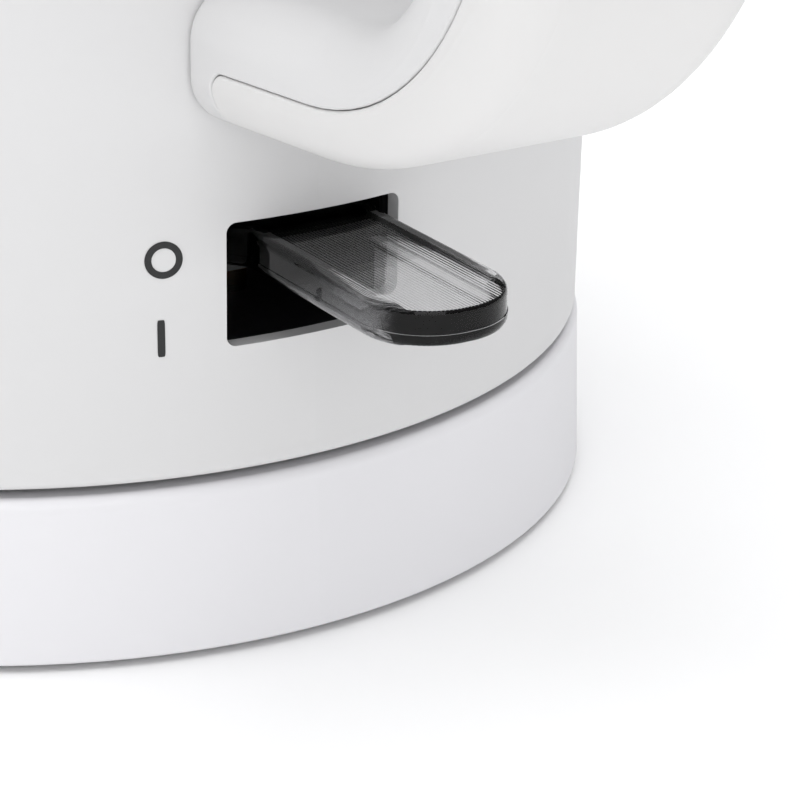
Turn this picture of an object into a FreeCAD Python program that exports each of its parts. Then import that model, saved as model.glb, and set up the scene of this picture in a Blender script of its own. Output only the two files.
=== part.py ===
"""Electric jug kettle on a round power base, as separate pieces.

The kettle's axis is +Z, the table is z = 0, the handle points along +X and the
spout along -X. All lengths are in millimetres.
"""
import FreeCAD, Part
import math
import os
import re

import Sketcher

Vector = FreeCAD.Vector

doc = FreeCAD.newDocument("electric_kettle")
sheet = doc.addObject("Spreadsheet::Sheet", "Sizes")

SIZES = [
    # clearances used by many pieces
    ("fit_gap", 0.3, "between nested pieces that don't bear on each other"),
    ("running_gap", 0.05, "radial play of a pin in its hole"),
    # power base
    ("foot_height", 1.0, "the rubber ring stands this far below the base"),
    ("foot_inset", 12.0, "ring's centre line, from the base's outer wall"),
    ("foot_width", 6.0, "width of the rubber ring"),
    ("foot_seat", 1.2, "depth of the ring's groove in the base plate"),
    ("base_height", 22.0, "base wall, lower edge to deck"),
    ("base_step", 0.8, "base is this much wider than the jug's lower edge"),
    ("base_draft", 0.4, "base narrows by this much towards its deck"),
    ("base_wall", 2.4, "wall and deck of the base"),
    ("base_top_round", 1.3, "rounding at the deck's outer edge"),
    ("base_foot_round", 0.5, "rounding at the base's lower edge"),
    ("base_floor", 2.4, "thickness of the base plate"),
    ("base_lip", 2.0, "height of the plate's locating lip"),
    ("collar_height", 4.0, "deck collar round the connector"),
    ("base_boss_inset", 24.0, "screw circle, from the base's outer wall"),
    ("boss_radius", 4.5, "screw bosses of the base"),
    ("gland_height", 12.2, "cord outlet, above the base's lower edge"),
    ("gland_bore", 3.6, "radius of the cord outlet"),
    ("gland_wall", 1.8, "wall of the cord outlet's ring"),
    ("gland_flange", 1.4, "ring's flange, beyond its hole"),
    # connector between base and jug
    ("socket_radius", 17.9, "round base connector"),
    ("socket_rise", 13.0, "connector's top above the deck"),
    ("socket_flange", 6.0, "flange under the deck, beyond the connector"),
    ("flange_thickness", 2.6, "thickness of that flange"),
    ("socket_tail", 4.0, "connector below its flange"),
    ("pin_radius", 2.5, "centre pin of the jug's connector"),
    ("pin_gap", 0.5, "pin to contact tube"),
    ("contact_wall", 0.9, "sheet of tube and ring contacts"),
    ("ring_radius", 11.0, "ring blade, centre line"),
    ("ring_blade", 1.4, "thickness of the ring blade"),
    ("ring_gap", 0.4, "blade to slot wall or contact"),
    ("pin_length", 11.0, "pin below the cup's ceiling"),
    ("blade_length", 9.0, "ring blade below the cup's ceiling"),
    ("cup_gap", 0.7, "connector to the jug's cup"),
    ("cup_wall", 2.2, "wall of the jug's cup"),
    ("cup_headroom", 1.0, "connector's top to the cup's ceiling"),
    # screws
    ("screw_radius", 1.4, "shank"),
    ("screw_head_radius", 2.9, "head"),
    ("screw_head_height", 1.3, "head"),
    ("screw_bite", 9.0, "depth of thread in a boss"),
    # jug
    ("seat_gap", 1.2, "shadow gap between deck and jug"),
    ("jug_radius", 76.2, "lower edge of the jug"),
    ("jug_height", 188.0, "jug, lower edge to rim"),
    ("jug_wall", 2.4, "wall of the jug"),
    ("shoulder_height", 70.0, "straight flare ends here, above the lower edge"),
    ("shoulder_bulge", 2.1, "flare of the straight part"),
    ("rim_inset", 11.2, "rim is this much narrower than the lower edge"),
    ("rim_round", 0.9, "rounding of rim and lower edge"),
    ("floor_height", 38.6, "heating plate's wet face, above the lower edge"),
    ("ledge_width", 6.6, "ledge over the plate's seal"),
    ("ledge_thickness", 2.4, "thickness of that ledge"),
    # spout and filter
    ("spout_height", 52.0, "beak, from its root to the rim"),
    ("spout_reach", 23.0, "beak's corner beyond the rim"),
    ("spout_root_reach", 5.4, "root's corner inside the rim's radius plus this"),
    ("spout_back", 50.0, "where the beak's sides start, from the axis"),
    ("spout_half_width", 26.0, "beak at that place, at the rim"),
    ("spout_root_half_width", 16.0, "beak at that place, at its root"),
    ("spout_tip_round", 7.0, "beak's corner at the rim"),
    ("spout_root_round", 9.0, "beak's corner at its root"),
    ("spout_wall", 3.0, "beak's wall, along X"),
    ("spout_side_wall", 2.4, "beak's wall, along Y"),
    ("filter_gap", 2.0, "lid's edge to filter"),
    ("filter_thickness", 2.0, "filter frame"),
    ("filter_height", 25.0, "filter frame"),
    ("filter_drop", 5.0, "filter's top below the rim"),
    ("filter_side_gap", 0.6, "filter to the beak's sides"),
    ("filter_border", 1.8, "frame round the mesh"),
    ("filter_tab", 3.0, "half width of the lifting tab"),
    ("mesh_thickness", 0.4, "filter mesh"),
    ("mesh_pitch", 1.4, "filter mesh"),
    ("mesh_hole", 0.9, "filter mesh"),
    # water-level windows
    ("window_width", 13.0, "window"),
    ("window_low", 54.0, "window's lower end above the jug's lower edge"),
    ("window_height", 104.0, "window"),
    ("window_gap", 0.1, "window to its cut-out"),
    # switch
    ("slot_width", 24.4, "switch slot"),
    ("slot_low", 16.6, "slot's sill above the jug's lower edge"),
    ("slot_height", 15.9, "switch slot"),
    ("slot_round", 1.3, "slot's corners"),
    ("lever_width", 18.6, "paddle"),
    ("lever_thickness", 5.2, "paddle"),
    ("lever_rest", 0.9, "paddle's top below the slot's top, over the axle"),
    ("lever_reach", 34.5, "nose beyond the jug's lower edge"),
    ("lever_nose_round", 8.8, "nose corners in plan"),
    ("lever_edge_round", 1.1, "paddle's upper edges"),
    ("lever_foot_round", 1.4, "paddle's lower edges"),
    ("lever_step", 0.1, "paddle's lower part is this much wider all round"),
    ("lever_step_height", 1.8, "paddle's lower part"),
    ("lever_flare", 3.0, "paddle widens to its root over this length"),
    ("lever_flare_round", 2.0, "corners of that flare"),
    ("lever_root_gap", 0.6, "root block to slot's sides"),
    ("lever_root_depth", 10.4, "root block, along X"),
    ("lever_root_height", 7.0, "root block"),
    ("lever_root_inset", 3.6, "root block's front, inside the lower edge"),
    ("lever_tilt", 1.2, "paddle slopes down to its nose by this many degrees, at rest"),
    ("rail_width", 2.1, "smooth rails beside the ribbed field"),
    ("field_depth", 0.45, "ribbed field below the rails"),
    ("rib_pitch", 0.47, "ribs of the paddle"),
    ("rib_groove", 0.2, "width of the grooves between the ribs"),
    ("rib_depth", 0.09, "grooves between the ribs"),
    ("pivot_inset", 24.2, "lever's axle, inside the jug's lower edge"),
    ("pivot_radius", 1.5, "lever's axle"),
    ("hub_radius", 3.6, "lever's hub"),
    ("housing_wall", 1.6, "switch housing"),
    ("housing_headroom", 0.5, "pocket beyond the slot, above and below"),
    ("housing_tail", 7.4, "pocket behind the axle"),
    ("spring_strip", 0.4, "switch spring's sheet"),
    ("spring_half", 4.0, "half height of the switch spring"),
    ("spring_width", 6.0, "width of the switch spring"),
    ("tongue_width", 16.0, "housing's tongue to the control"),
    ("tongue_thickness", 3.0, "housing's tongue"),
    ("tongue_rise", 2.0, "tongue above the control block's lower face"),
    ("lamp_radius", 2.2, "indicator lamp"),
    ("lamp_height", 4.2, "indicator lamp"),
    ("lamp_offset", 3.0, "lamp in front of the axle"),
    # heater and control
    ("seal_thickness", 2.0, "silicone ring"),
    ("plate_thickness", 0.8, "steel heating plate"),
    ("clamp_thickness", 3.0, "clamp ring"),
    ("clamp_width", 8.0, "clamp ring"),
    ("post_radius", 3.1, "screw posts"),
    ("spreader_inset", 30.2, "aluminium disc's edge, inside the jug's lower edge"),
    ("spreader_thickness", 3.0, "aluminium disc"),
    ("element_inset", 8.0, "heating tube's centre line, inside the disc's edge"),
    ("element_tube", 3.2, "radius of the heating tube"),
    ("element_arc", 312.0, "angle that the heating tube covers"),
    ("terminal_radius", 1.6, "cold ends"),
    ("terminal_length", 8.0, "cold ends, below the tube's centre"),
    ("control_radius", 24.0, "round part of the control"),
    ("control_ceiling", 3.0, "material above the cup"),
    ("control_length", 54.0, "upper block, along X"),
    ("control_width", 38.0, "upper block, along Y"),
    ("control_round", 4.0, "upper block's corners"),
    ("control_block", 12.0, "upper block's height"),
    ("bimetal_radius", 8.0, "snap discs"),
    ("bimetal_sheet", 0.5, "snap discs"),
    ("bimetal_recess", 2.0, "their pockets in the control"),
    ("bimetal_offset", 13.0, "their distance from the axis"),
    ("tube_inset", 18.6, "steam tube, inside the jug's lower edge"),
    ("tube_radius", 4.5, "steam tube, outside"),
    ("tube_wall", 0.8, "steam tube"),
    ("tube_headroom", 24.0, "steam tube's top below the rim"),
    ("grommet_wall", 1.5, "grommet in the plate's hole"),
    ("grommet_flange", 1.6, "grommet's flange beyond the hole"),
    ("grommet_height", 2.0, "grommet above the plate"),
    # bottom cover
    ("cover_rise", 2.0, "cover's plate above the jug's lower edge"),
    ("cover_thickness", 2.4, "bottom cover"),
    ("cover_hole_gap", 1.4, "collar to the cover's hole"),
    ("rest_ring_radius", 60.0, "ring that the jug stands on"),
    ("rest_ring_width", 4.0, "ring that the jug stands on"),
    # handle
    ("handle_width", 34.0, "handle, across"),
    ("handle_low", 45.4, "underside at the root, above the jug's lower edge"),
    ("handle_slope", 4.2, "underside rises by this much to the back"),
    ("handle_reach", 74.9, "back of the handle beyond the jug's lower edge"),
    ("handle_lean", 5.5, "back leans in by this much towards the top"),
    ("deck_rise", 1.6, "handle's deck above the rim"),
    ("heel_round", 50.0, "lower corner of the back"),
    ("crown_round", 36.0, "upper corner of the back"),
    ("grip_depth", 25.5, "grip, front to back"),
    ("heel_depth", 17.5, "handle's lower arm"),
    ("deck_depth", 33.0, "handle's upper arm"),
    ("finger_round", 22.0, "corners of the finger gap"),
    ("handle_edge_round", 6.0, "edges of the back"),
    ("finger_edge_round", 7.0, "edges of the finger gap"),
    ("root_round", 4.0, "blend of the handle's upper arm onto the jug"),
    ("heel_gap", 0.2, "lower arm's end to the jug's wall"),
    ("heel_end_round", 0.9, "edges of the lower arm's end"),
    ("heel_neck", 3.6, "neck between lower arm and jug, inside the arm's faces"),
    ("cover_depth", 10.0, "handle cover, from back and deck to the parting line"),
    ("cover_heel_depth", 7.4, "handle cover, from the underside to the parting line"),
    ("parting_round", 38.7, "heel of the parting line"),
    ("cover_start", 5.4, "cover's lower end beyond the jug's lower edge"),
    ("cover_end", 27.6, "cover's upper end beyond the jug's lower edge"),
    ("cover_corner", 2.6, "corners of the cover's ends"),
    ("seam_gap", 0.1, "parting line of the handle"),
    ("seam_round", 0.4, "edges of the parting line"),
    ("handle_shell", 3.2, "walls of cover and frame"),
    # lid
    ("lid_gap", 0.8, "lid to rim"),
    ("deck_setback", 1.2, "handle's deck behind the lid's opening"),
    ("lid_depth", 5.0, "lid's ledge below the rim"),
    ("lid_ledge", 4.6, "width of that ledge"),
    ("lid_ledge_thickness", 2.0, "thickness of that ledge"),
    ("lid_crown", 4.6, "middle of the lid above the rim"),
    ("lid_sheet", 2.2, "lid's walls"),
    ("lid_play", 0.2, "lid's skirt above its ledge"),
    ("liner_depth", 6.0, "liner below the lid's skirt"),
    ("liner_inset", 7.0, "liner's wall inside the lid's edge"),
    ("hinge_offset", 3.4, "hinge axis outside the rim"),
    ("hinge_drop", 2.6, "hinge axis below the rim"),
    ("hinge_pin_radius", 1.5, "hinge pin"),
    ("knuckle_radius", 4.2, "lid's hinge barrel"),
    ("knuckle_half", 11.5, "half length of the lid's hinge barrel"),
    ("knuckle_bore_half", 4.2, "half length of the spring's room in the barrel"),
    ("hinge_pin_half", 14.4, "half length of the hinge pin"),
    ("recess_gap", 0.6, "hinge tab to its recess"),
    ("spring_wire", 0.35, "wire radius of the lid's spring"),
    ("spring_turns", 6.0, "turns of each coil spring"),
    # lid release
    ("button_start", 5.4, "button's well behind the hinge recess"),
    ("button_length", 20.4, "button, along X"),
    ("button_width", 18.0, "button, along Y"),
    ("button_height", 6.2, "button's cap"),
    ("button_proud", 1.4, "button above the deck"),
    ("button_round", 2.4, "button's corners"),
    ("button_travel", 3.0, "button's stroke, and the latch's"),
    ("well_depth", 14.0, "latch's slideway below the deck"),
    ("latch_height", 4.0, "latch bar"),
    ("latch_width", 17.0, "latch bar"),
    ("latch_side", 3.0, "latch bar beside its ramp hole"),
    ("latch_nose", 1.8, "thickness of the latch's upright nose"),
    ("latch_slide_gap", 0.2, "latch to its slideway"),
    ("ramp_start", 7.2, "ramp's top behind the well's front"),
    ("latch_tail", 2.0, "latch behind its ramp"),
    ("wedge_tip", 1.5, "flat tip of the button's wedge"),
    ("knuckle_notch", 0.8, "depth of the notch that faces the latch"),
    ("button_spring_radius", 2.6, "button spring's centre line"),
    ("button_spring_inset", 4.0, "button spring in front of the well's end"),
    ("button_spring_wire", 0.35, "wire radius of the button's spring"),
    ("spring_pit", 4.0, "spring's pit below the slideway"),
]

for row, (name, number, note) in enumerate(SIZES, 1):
    sheet.set(f"A{row}", name)
    sheet.set(f"B{row}", str(number))
    sheet.setAlias(f"B{row}", name)
    sheet.set(f"C{row}", note)
doc.recompute()

NAMES = {name for name, number, note in SIZES}


def cells(formula):
    """A formula in size names, as an expression on the sheet's cells."""
    return re.sub(r"[a-z_]+", lambda word: "Sizes." + word[0] if word[0] in NAMES else word[0], formula)


def value(formula):
    """The number that a formula in size names gives now."""
    return float(sheet.evalExpression(cells(formula)))


def bind(thing, **formulas):
    """Tie properties of an object to the sheet. Double underscores stand for dots."""
    for prop, formula in formulas.items():
        thing.setExpression(prop.replace("__", "."), cells(formula))
    return thing


# Heights and radii that several pieces share, as formulas in the sheet's names.
BASE_R = "(jug_radius + base_step)"
BASE_TOP = "(foot_height + base_height)"
JUG_Z = f"({BASE_TOP} + seat_gap)"
RIM_Z = f"({JUG_Z} + jug_height)"
RIM_R = "(jug_radius - rim_inset)"
SHOULDER_Z = f"({JUG_Z} + shoulder_height)"
SHOULDER_R = "(jug_radius + shoulder_bulge)"
FLOOR_Z = f"({JUG_Z} + floor_height)"
INNER_R = "(jug_radius - jug_wall)"
LINED_R = f"({INNER_R} - fit_gap)"

# The wall is a straight flare up to the shoulder, then an arc tangent to it up to the rim.
FLARE = "sqrt(shoulder_bulge^2 + shoulder_height^2)"
ARC_RUN = f"({RIM_R} - {SHOULDER_R})"
ARC_RISE = f"({RIM_Z} - {SHOULDER_Z})"
ARC_R = (f"(({ARC_RUN}^2 + {ARC_RISE}^2) * {FLARE}"
         f" / (2 * ({ARC_RISE} * shoulder_bulge - {ARC_RUN} * shoulder_height)))")
ARC_X = f"({SHOULDER_R} - {ARC_R} * shoulder_height / {FLARE})"
ARC_Z = f"({SHOULDER_Z} + {ARC_R} * shoulder_bulge / {FLARE})"


def low_wall(z, inset="0"):
    """Radius of the flared part of the wall at height z, moved inward by inset."""
    return (f"(jug_radius + shoulder_bulge * ({z} - {JUG_Z}) / shoulder_height"
            f" - ({inset}) * {FLARE} / shoulder_height)")


def high_wall(z, inset="0"):
    """Radius of the arched part of the wall at height z, moved inward by inset."""
    return f"({ARC_X} + sqrt(({ARC_R} - ({inset}))^2 - ({z} - {ARC_Z})^2))"


def shoulder(inset="0"):
    """Where flare and arc meet, moved inward by inset along their shared normal."""
    return (f"({SHOULDER_R} - ({inset}) * shoulder_height / {FLARE})",
            f"({SHOULDER_Z} + ({inset}) * shoulder_bulge / {FLARE})")


def new_body(label):
    body = doc.addObject("PartDesign::Body", label)
    body.Label = label
    return body


def origin_feature(body, role):
    return next(item for item in body.Origin.OriginFeatures if item.Role == role)


def new_sketch(body, name, role="XZ_Plane", lift=None):
    """A sketch on one of the body's origin planes, lifted along the plane's normal."""
    sketch = body.newObject("Sketcher::SketchObject", name)
    sketch.AttachmentSupport = [(origin_feature(body, role), "")]
    sketch.MapMode = "FlatFace"
    if lift:
        bind(sketch, AttachmentOffset__Base__z=lift)
    return sketch


def pin_point(sketch, geometry, end, x, y):
    """Dimension a point of the sketch from its origin."""
    for kind, axis, formula in (("DistanceX", -2, x), ("DistanceY", -1, y)):
        number = value(formula)
        if abs(number) < 1e-9:
            sketch.addConstraint(Sketcher.Constraint("PointOnObject", geometry, end, axis))
            continue
        index = sketch.addConstraint(Sketcher.Constraint(kind, -1, 1, geometry, end, number))
        bind(sketch, **{f"Constraints[{index}]": formula})


def set_radius(sketch, geometry, formula):
    index = sketch.addConstraint(Sketcher.Constraint("Radius", geometry, value(formula)))
    bind(sketch, **{f"Constraints[{index}]": formula})


def add_arc(sketch, centre, radius, start, end):
    """Add the arc under half a turn from start to end; returns its index and end numbers."""
    first, last = start - centre, end - centre
    forward = first.x * last.y - first.y * last.x > 0
    if not forward:
        first, last = last, first
    circle = Part.Circle(centre, Vector(0, 0, 1), radius)
    sweep = (math.atan2(first.y, first.x), math.atan2(last.y, last.x))
    index = sketch.addGeometry(Part.ArcOfCircle(circle, *sweep))
    return (index, 1, 2) if forward else (index, 2, 1)


def outline(sketch, corners, arcs=None):
    """Draw a closed outline.

    corners are (x, y) or (x, y, rounding). arcs gives, for the side that starts at a
    sharp corner, the radius formula and +1 or -1 for a bulge left or right of it.
    """
    arcs = arcs or {}
    count = len(corners)
    at = [Vector(value(corner[0]), value(corner[1]), 0) for corner in corners]
    leave, arrive, rounds = list(at), list(at), {}
    for i, corner in enumerate(corners):
        if len(corner) < 3:
            continue
        radius = value(corner[2])
        back = (at[i - 1] - at[i]).normalize()
        ahead = (at[(i + 1) % count] - at[i]).normalize()
        half = back.getAngle(ahead) / 2
        arrive[i] = at[i] + back * (radius / math.tan(half))
        leave[i] = at[i] + ahead * (radius / math.tan(half))
        middle = at[i] + (back + ahead).normalize() * (radius / math.sin(half))
        rounds[i] = add_arc(sketch, middle, radius, arrive[i], leave[i])
        set_radius(sketch, rounds[i][0], corner[2])
    sides = []
    for i in range(count):
        start, end = leave[i], arrive[(i + 1) % count]
        if i in arcs:
            radius, bulge = value(arcs[i][0]), arcs[i][1]
            chord = end - start
            left = Vector(-chord.y, chord.x, 0).normalize()
            depth = math.sqrt(radius**2 - chord.Length**2 / 4)
            sides.append(add_arc(sketch, (start + end) / 2 - left * (bulge * depth), radius, start, end))
            set_radius(sketch, sides[i][0], arcs[i][0])
        else:
            sides.append((sketch.addGeometry(Part.LineSegment(start, end)), 1, 2))
    for i, corner in enumerate(corners):
        before, after = sides[i - 1], sides[i]
        if i in rounds:
            bow = rounds[i]
            sketch.addConstraint(Sketcher.Constraint("Tangent", before[0], before[2], bow[0], bow[1]))
            sketch.addConstraint(Sketcher.Constraint("Tangent", bow[0], bow[2], after[0], after[1]))
            point = sketch.addGeometry(Part.Point(at[i]), True)
            sketch.addConstraint(Sketcher.Constraint("PointOnObject", point, 1, before[0]))
            sketch.addConstraint(Sketcher.Constraint("PointOnObject", point, 1, after[0]))
            pin_point(sketch, point, 1, corner[0], corner[1])
        else:
            sketch.addConstraint(Sketcher.Constraint("Coincident", before[0], before[2], after[0], after[1]))
            pin_point(sketch, after[0], after[1], corner[0], corner[1])
    return sketch


def circle(sketch, x, y, radius):
    index = sketch.addGeometry(Part.Circle(Vector(value(x), value(y), 0), Vector(0, 0, 1), value(radius)))
    pin_point(sketch, index, 3, x, y)
    set_radius(sketch, index, radius)
    return sketch


def feature(body, kind, name, sketch, **settings):
    """A sketch-based feature. Text settings are formulas, others are set as they are."""
    item = body.newObject("PartDesign::" + kind, name)
    item.Profile = sketch
    for prop, setting in settings.items():
        if isinstance(setting, str) and prop not in ("SideType", "Type"):
            bind(item, **{prop: setting})
        else:
            setattr(item, prop, setting)
    body.Tip = item
    return item


def pad(body, name, sketch, length, **settings):
    return feature(body, "Pad", name, sketch, Length=length, **settings)


def pocket(body, name, sketch, length, **settings):
    """A pocket that must remove something."""
    doc.recompute()
    before = body.Shape.Volume
    item = feature(body, "Pocket", name, sketch, Length=length, **settings)
    doc.recompute()
    assert body.Shape.Volume < before - 1e-3, f"{name} cuts nothing"
    return item


def revolve(body, name, sketch, kind="Revolution"):
    return feature(body, kind, name, sketch, ReferenceAxis=(sketch, ["V_Axis"]), Angle=360.0)


def spin(label, corners, arcs=None):
    """A body turned about the kettle's axis from one outline in the XZ plane."""
    body = new_body(label)
    revolve(body, label + "_turned", outline(new_sketch(body, label + "_profile"), corners, arcs))
    return body


def around(body, name, originals, count=3):
    pattern = body.newObject("PartDesign::PolarPattern", name)
    pattern.Originals = originals
    pattern.Axis = (origin_feature(body, "Z_Axis"), [""])
    pattern.Angle = 360.0
    pattern.Occurrences = count
    body.Tip = pattern
    return pattern


def round_edges(body, name, radius, chosen):
    """Fillet the edges of the body that a test on the edge chooses."""
    doc.recompute()
    tip = body.Tip
    edges = [f"Edge{i}" for i, edge in enumerate(tip.Shape.Edges, 1) if chosen(edge)]
    assert edges, f"{name} finds no edge"
    item = body.newObject("PartDesign::Fillet", name)
    item.Base = (tip, edges)
    bind(item, Radius=radius)
    body.Tip = item
    doc.recompute()
    return item


def is_ring(edge, radius, height, slack=0.02):
    """Whether an edge is a circle about the kettle's axis with this radius and height."""
    if edge.Degenerated or not isinstance(edge.Curve, Part.Circle):
        return False
    centre = edge.Curve.Center
    on_axis = math.hypot(centre.x, centre.y) < slack
    return on_axis and abs(centre.z - height) < slack and abs(edge.Curve.Radius - radius) < slack


def rod(name, radius, length, x="0", y="0", z="0", along="z"):
    """A cylinder along Z, or centred on its place along Y."""
    item = doc.addObject("Part::Cylinder", name)
    bind(item, Radius=radius, Height=length, Placement__Base__x=x, Placement__Base__z=z)
    if along == "y":
        item.Placement.Rotation = FreeCAD.Rotation(Vector(1, 0, 0), -90)
        y = f"{y} - ({length}) / 2"
    bind(item, Placement__Base__y=y)
    return item


def fused(name, first, second):
    item = doc.addObject("Part::Fuse", name)
    item.Base, item.Tool = first, second
    return item


def cut(name, first, second):
    item = doc.addObject("Part::Cut", name)
    item.Base, item.Tool = first, second
    return item


def group(label, items):
    """Several separate solids that share one node."""
    item = doc.addObject("Part::Compound", label)
    item.Label = label
    item.Links = items
    return item


def sleeve(name, outside, inside, length, x="0", z="0"):
    return cut(name, rod(name + "_outside", outside, length, x, "0", z),
               rod(name + "_inside", inside, length, x, "0", z))


def screws(label, circle_radius, z, length, turn):
    """Three screws on a circle, heads down, with the head's underside up at z."""
    items = []
    for i in range(3):
        x = f"{circle_radius} * cos({turn + 120 * i})"
        y = f"{circle_radius} * sin({turn + 120 * i})"
        head = rod(f"{label}_head_{i}", "screw_head_radius", "screw_head_height", x, y,
                   f"{z} - screw_head_height")
        shank = rod(f"{label}_shank_{i}", "screw_radius", length, x, y, z)
        items.append(fused(f"{label}_{i}", head, shank))
    return group(label, items)


# Power base: a deck with a side wall, closed by a plate that stands on a rubber ring.
def build_base_cover():
    top_r = f"({BASE_R} - base_draft)"
    under = f"{BASE_TOP} - base_wall"
    collar = "(socket_radius + fit_gap)"
    body = spin("base_cover", [
        (BASE_R, "foot_height"), (top_r, BASE_TOP),
        (f"{collar} + base_wall", BASE_TOP), (f"{collar} + base_wall", f"{BASE_TOP} + collar_height"),
        (collar, f"{BASE_TOP} + collar_height"), (collar, under),
        (f"{top_r} - base_wall", under), (f"{BASE_R} - base_wall", "foot_height"),
    ])
    round_edges(body, "deck_edge", "base_top_round",
                lambda edge: is_ring(edge, value(top_r), value(BASE_TOP)))
    round_edges(body, "lower_edge", "base_foot_round",
                lambda edge: is_ring(edge, value(BASE_R), value("foot_height")))
    floor_top = "foot_height + base_floor"
    place = f"{BASE_R} - base_boss_inset"
    sketch = circle(new_sketch(body, "boss_plan", "XY_Plane", floor_top), place, "0", "boss_radius")
    boss = pad(body, "boss", sketch, "base_height - base_wall - base_floor + base_wall / 2")
    sketch = circle(new_sketch(body, "boss_hole_plan", "XY_Plane", floor_top), place, "0",
                    "screw_radius + running_gap")
    hole = pocket(body, "boss_hole", sketch, "screw_bite + fit_gap", Reversed=True)
    around(body, "bosses", [boss, hole])
    sketch = circle(new_sketch(body, "cord_hole_plan", "YZ_Plane"), "0", "foot_height + gland_height",
                    "gland_bore + gland_wall")
    pocket(body, "cord_hole", sketch, f"{BASE_R} + gland_flange")
    return body


def build_base_plate():
    top = "(foot_height + base_floor)"
    edge = f"({BASE_R} - base_draft - base_wall - fit_gap)"
    ring = f"({BASE_R} - foot_inset)"
    flange_low = f"{BASE_TOP} - base_wall - flange_thickness"
    post = "(socket_radius + socket_flange)"
    body = spin("base_plate", [
        ("0", "foot_height"), (f"{ring} - foot_width / 2", "foot_height"),
        (f"{ring} - foot_width / 2", "foot_height + foot_seat"),
        (f"{ring} + foot_width / 2", "foot_height + foot_seat"),
        (f"{ring} + foot_width / 2", "foot_height"), (edge, "foot_height"),
        (edge, f"{top} + base_lip"), (f"{edge} - base_wall", f"{top} + base_lip"),
        (f"{edge} - base_wall", top), (post, top), (post, flange_low),
        (f"{post} - base_wall", flange_low), (f"{post} - base_wall", top), ("0", top),
    ])
    place = f"{BASE_R} - base_boss_inset"
    sketch = circle(new_sketch(body, "head_plan", "XY_Plane", "foot_height"), place, "0",
                    "screw_head_radius + fit_gap")
    head = pocket(body, "head_recess", sketch, "screw_head_height", Reversed=True)
    sketch = circle(new_sketch(body, "shank_plan", "XY_Plane", "foot_height"), place, "0",
                    "screw_radius + running_gap")
    shank = pocket(body, "shank_hole", sketch, "base_floor + base_lip", Reversed=True)
    around(body, "screw_holes", [head, shank])
    return body


def build_foot_ring():
    ring = f"({BASE_R} - foot_inset)"
    inner, outer = f"{ring} - foot_width / 2 + running_gap", f"{ring} + foot_width / 2 - running_gap"
    return spin("foot_ring", [
        (inner, "0", "foot_height / 2"), (outer, "0", "foot_height / 2"),
        (outer, "foot_height + foot_seat"), (inner, "foot_height + foot_seat"),
    ])


def build_base_socket():
    """Female connector: a centre hole and a ring slot, held by a flange under the deck."""
    under = f"({BASE_TOP} - base_wall)"
    top = f"({BASE_TOP} + socket_rise)"
    tube_r = "(pin_radius + pin_gap + contact_wall + running_gap)"
    slot_in = "(ring_radius - ring_blade / 2 - ring_gap)"
    slot_out = "(ring_radius + ring_blade / 2 + ring_gap + contact_wall + running_gap)"
    bottom = f"{under} - flange_thickness - socket_tail"
    slot_floor = f"{top} - blade_length - ring_gap - contact_wall"
    tube_floor = f"{top} - pin_length - pin_gap - contact_wall"
    return spin("base_socket", [
        ("0", bottom), ("socket_radius", bottom), ("socket_radius", f"{under} - flange_thickness"),
        ("socket_radius + socket_flange", f"{under} - flange_thickness"),
        ("socket_radius + socket_flange", under), ("socket_radius", under),
        ("socket_radius", top, "base_wall / 2"), (slot_out, top), (slot_out, slot_floor),
        (slot_in, slot_floor), (slot_in, top), (tube_r, top), (tube_r, tube_floor), ("0", tube_floor),
    ])


def build_socket_contacts():
    top = f"({BASE_TOP} + socket_rise)"
    tube_floor = f"({top} - pin_length - pin_gap - contact_wall)"
    slot_floor = f"({top} - blade_length - ring_gap - contact_wall)"
    ring_in = "(ring_radius + ring_blade / 2 + ring_gap)"
    tube = sleeve("tube_contact", "pin_radius + pin_gap + contact_wall", "pin_radius + pin_gap",
                  "pin_length - contact_wall", "0", tube_floor)
    ring = sleeve("ring_contact", f"{ring_in} + contact_wall", ring_in,
                  "blade_length - contact_wall", "0", slot_floor)
    return group("socket_contacts", [tube, ring])


def build_cord_gland():
    """Ring in the side wall, turned about the X axis, with a flange inside and outside."""
    body = new_body("cord_gland")
    sketch = new_sketch(body, "gland_profile", "XY_Plane", "foot_height + gland_height")
    hole = "(gland_bore + gland_wall - running_gap)"
    flange = "gland_bore + gland_wall + gland_flange"
    outside = f"{BASE_R} + running_gap"
    inside = f"{BASE_R} - base_draft - base_wall - gland_flange / 2"
    outline(sketch, [
        (f"-({outside} + gland_flange)", "gland_bore"), (f"-({outside} + gland_flange)", flange),
        (f"-({outside})", flange), (f"-({outside})", hole), (f"-({inside})", hole),
        (f"-({inside})", flange), (f"-({inside} - gland_flange)", flange),
        (f"-({inside} - gland_flange)", "gland_bore"),
    ])
    feature(body, "Revolution", "gland_turned", sketch, ReferenceAxis=(sketch, ["H_Axis"]), Angle=360.0)
    return body


# Jug: a flared and arched wall with spout, rim, handle frame and switch slot in one moulding.
HANDLE_HALF = "(handle_width / 2)"
BACK_X = "(jug_radius + handle_reach)"
LOW_Z = f"({JUG_Z} + handle_low)"
DECK_Z = f"({RIM_Z} + deck_rise)"
ROOT_X = f"({INNER_R} - jug_wall)"
HINGE_X = f"({RIM_R} + hinge_offset)"
HINGE_Z = f"({RIM_Z} - hinge_drop)"
WELL_FRONT = f"({HINGE_X} + knuckle_radius + recess_gap + button_start)"
WELL_BACK = f"({WELL_FRONT} + button_length + 2 * fit_gap)"
WELL_FLOOR = f"({DECK_Z} - well_depth)"


def underside(x):
    """Height of the handle's underside at x: a straight line from root to back."""
    return f"({LOW_Z} + handle_slope * ({x} - jug_radius) / handle_reach)"


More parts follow.
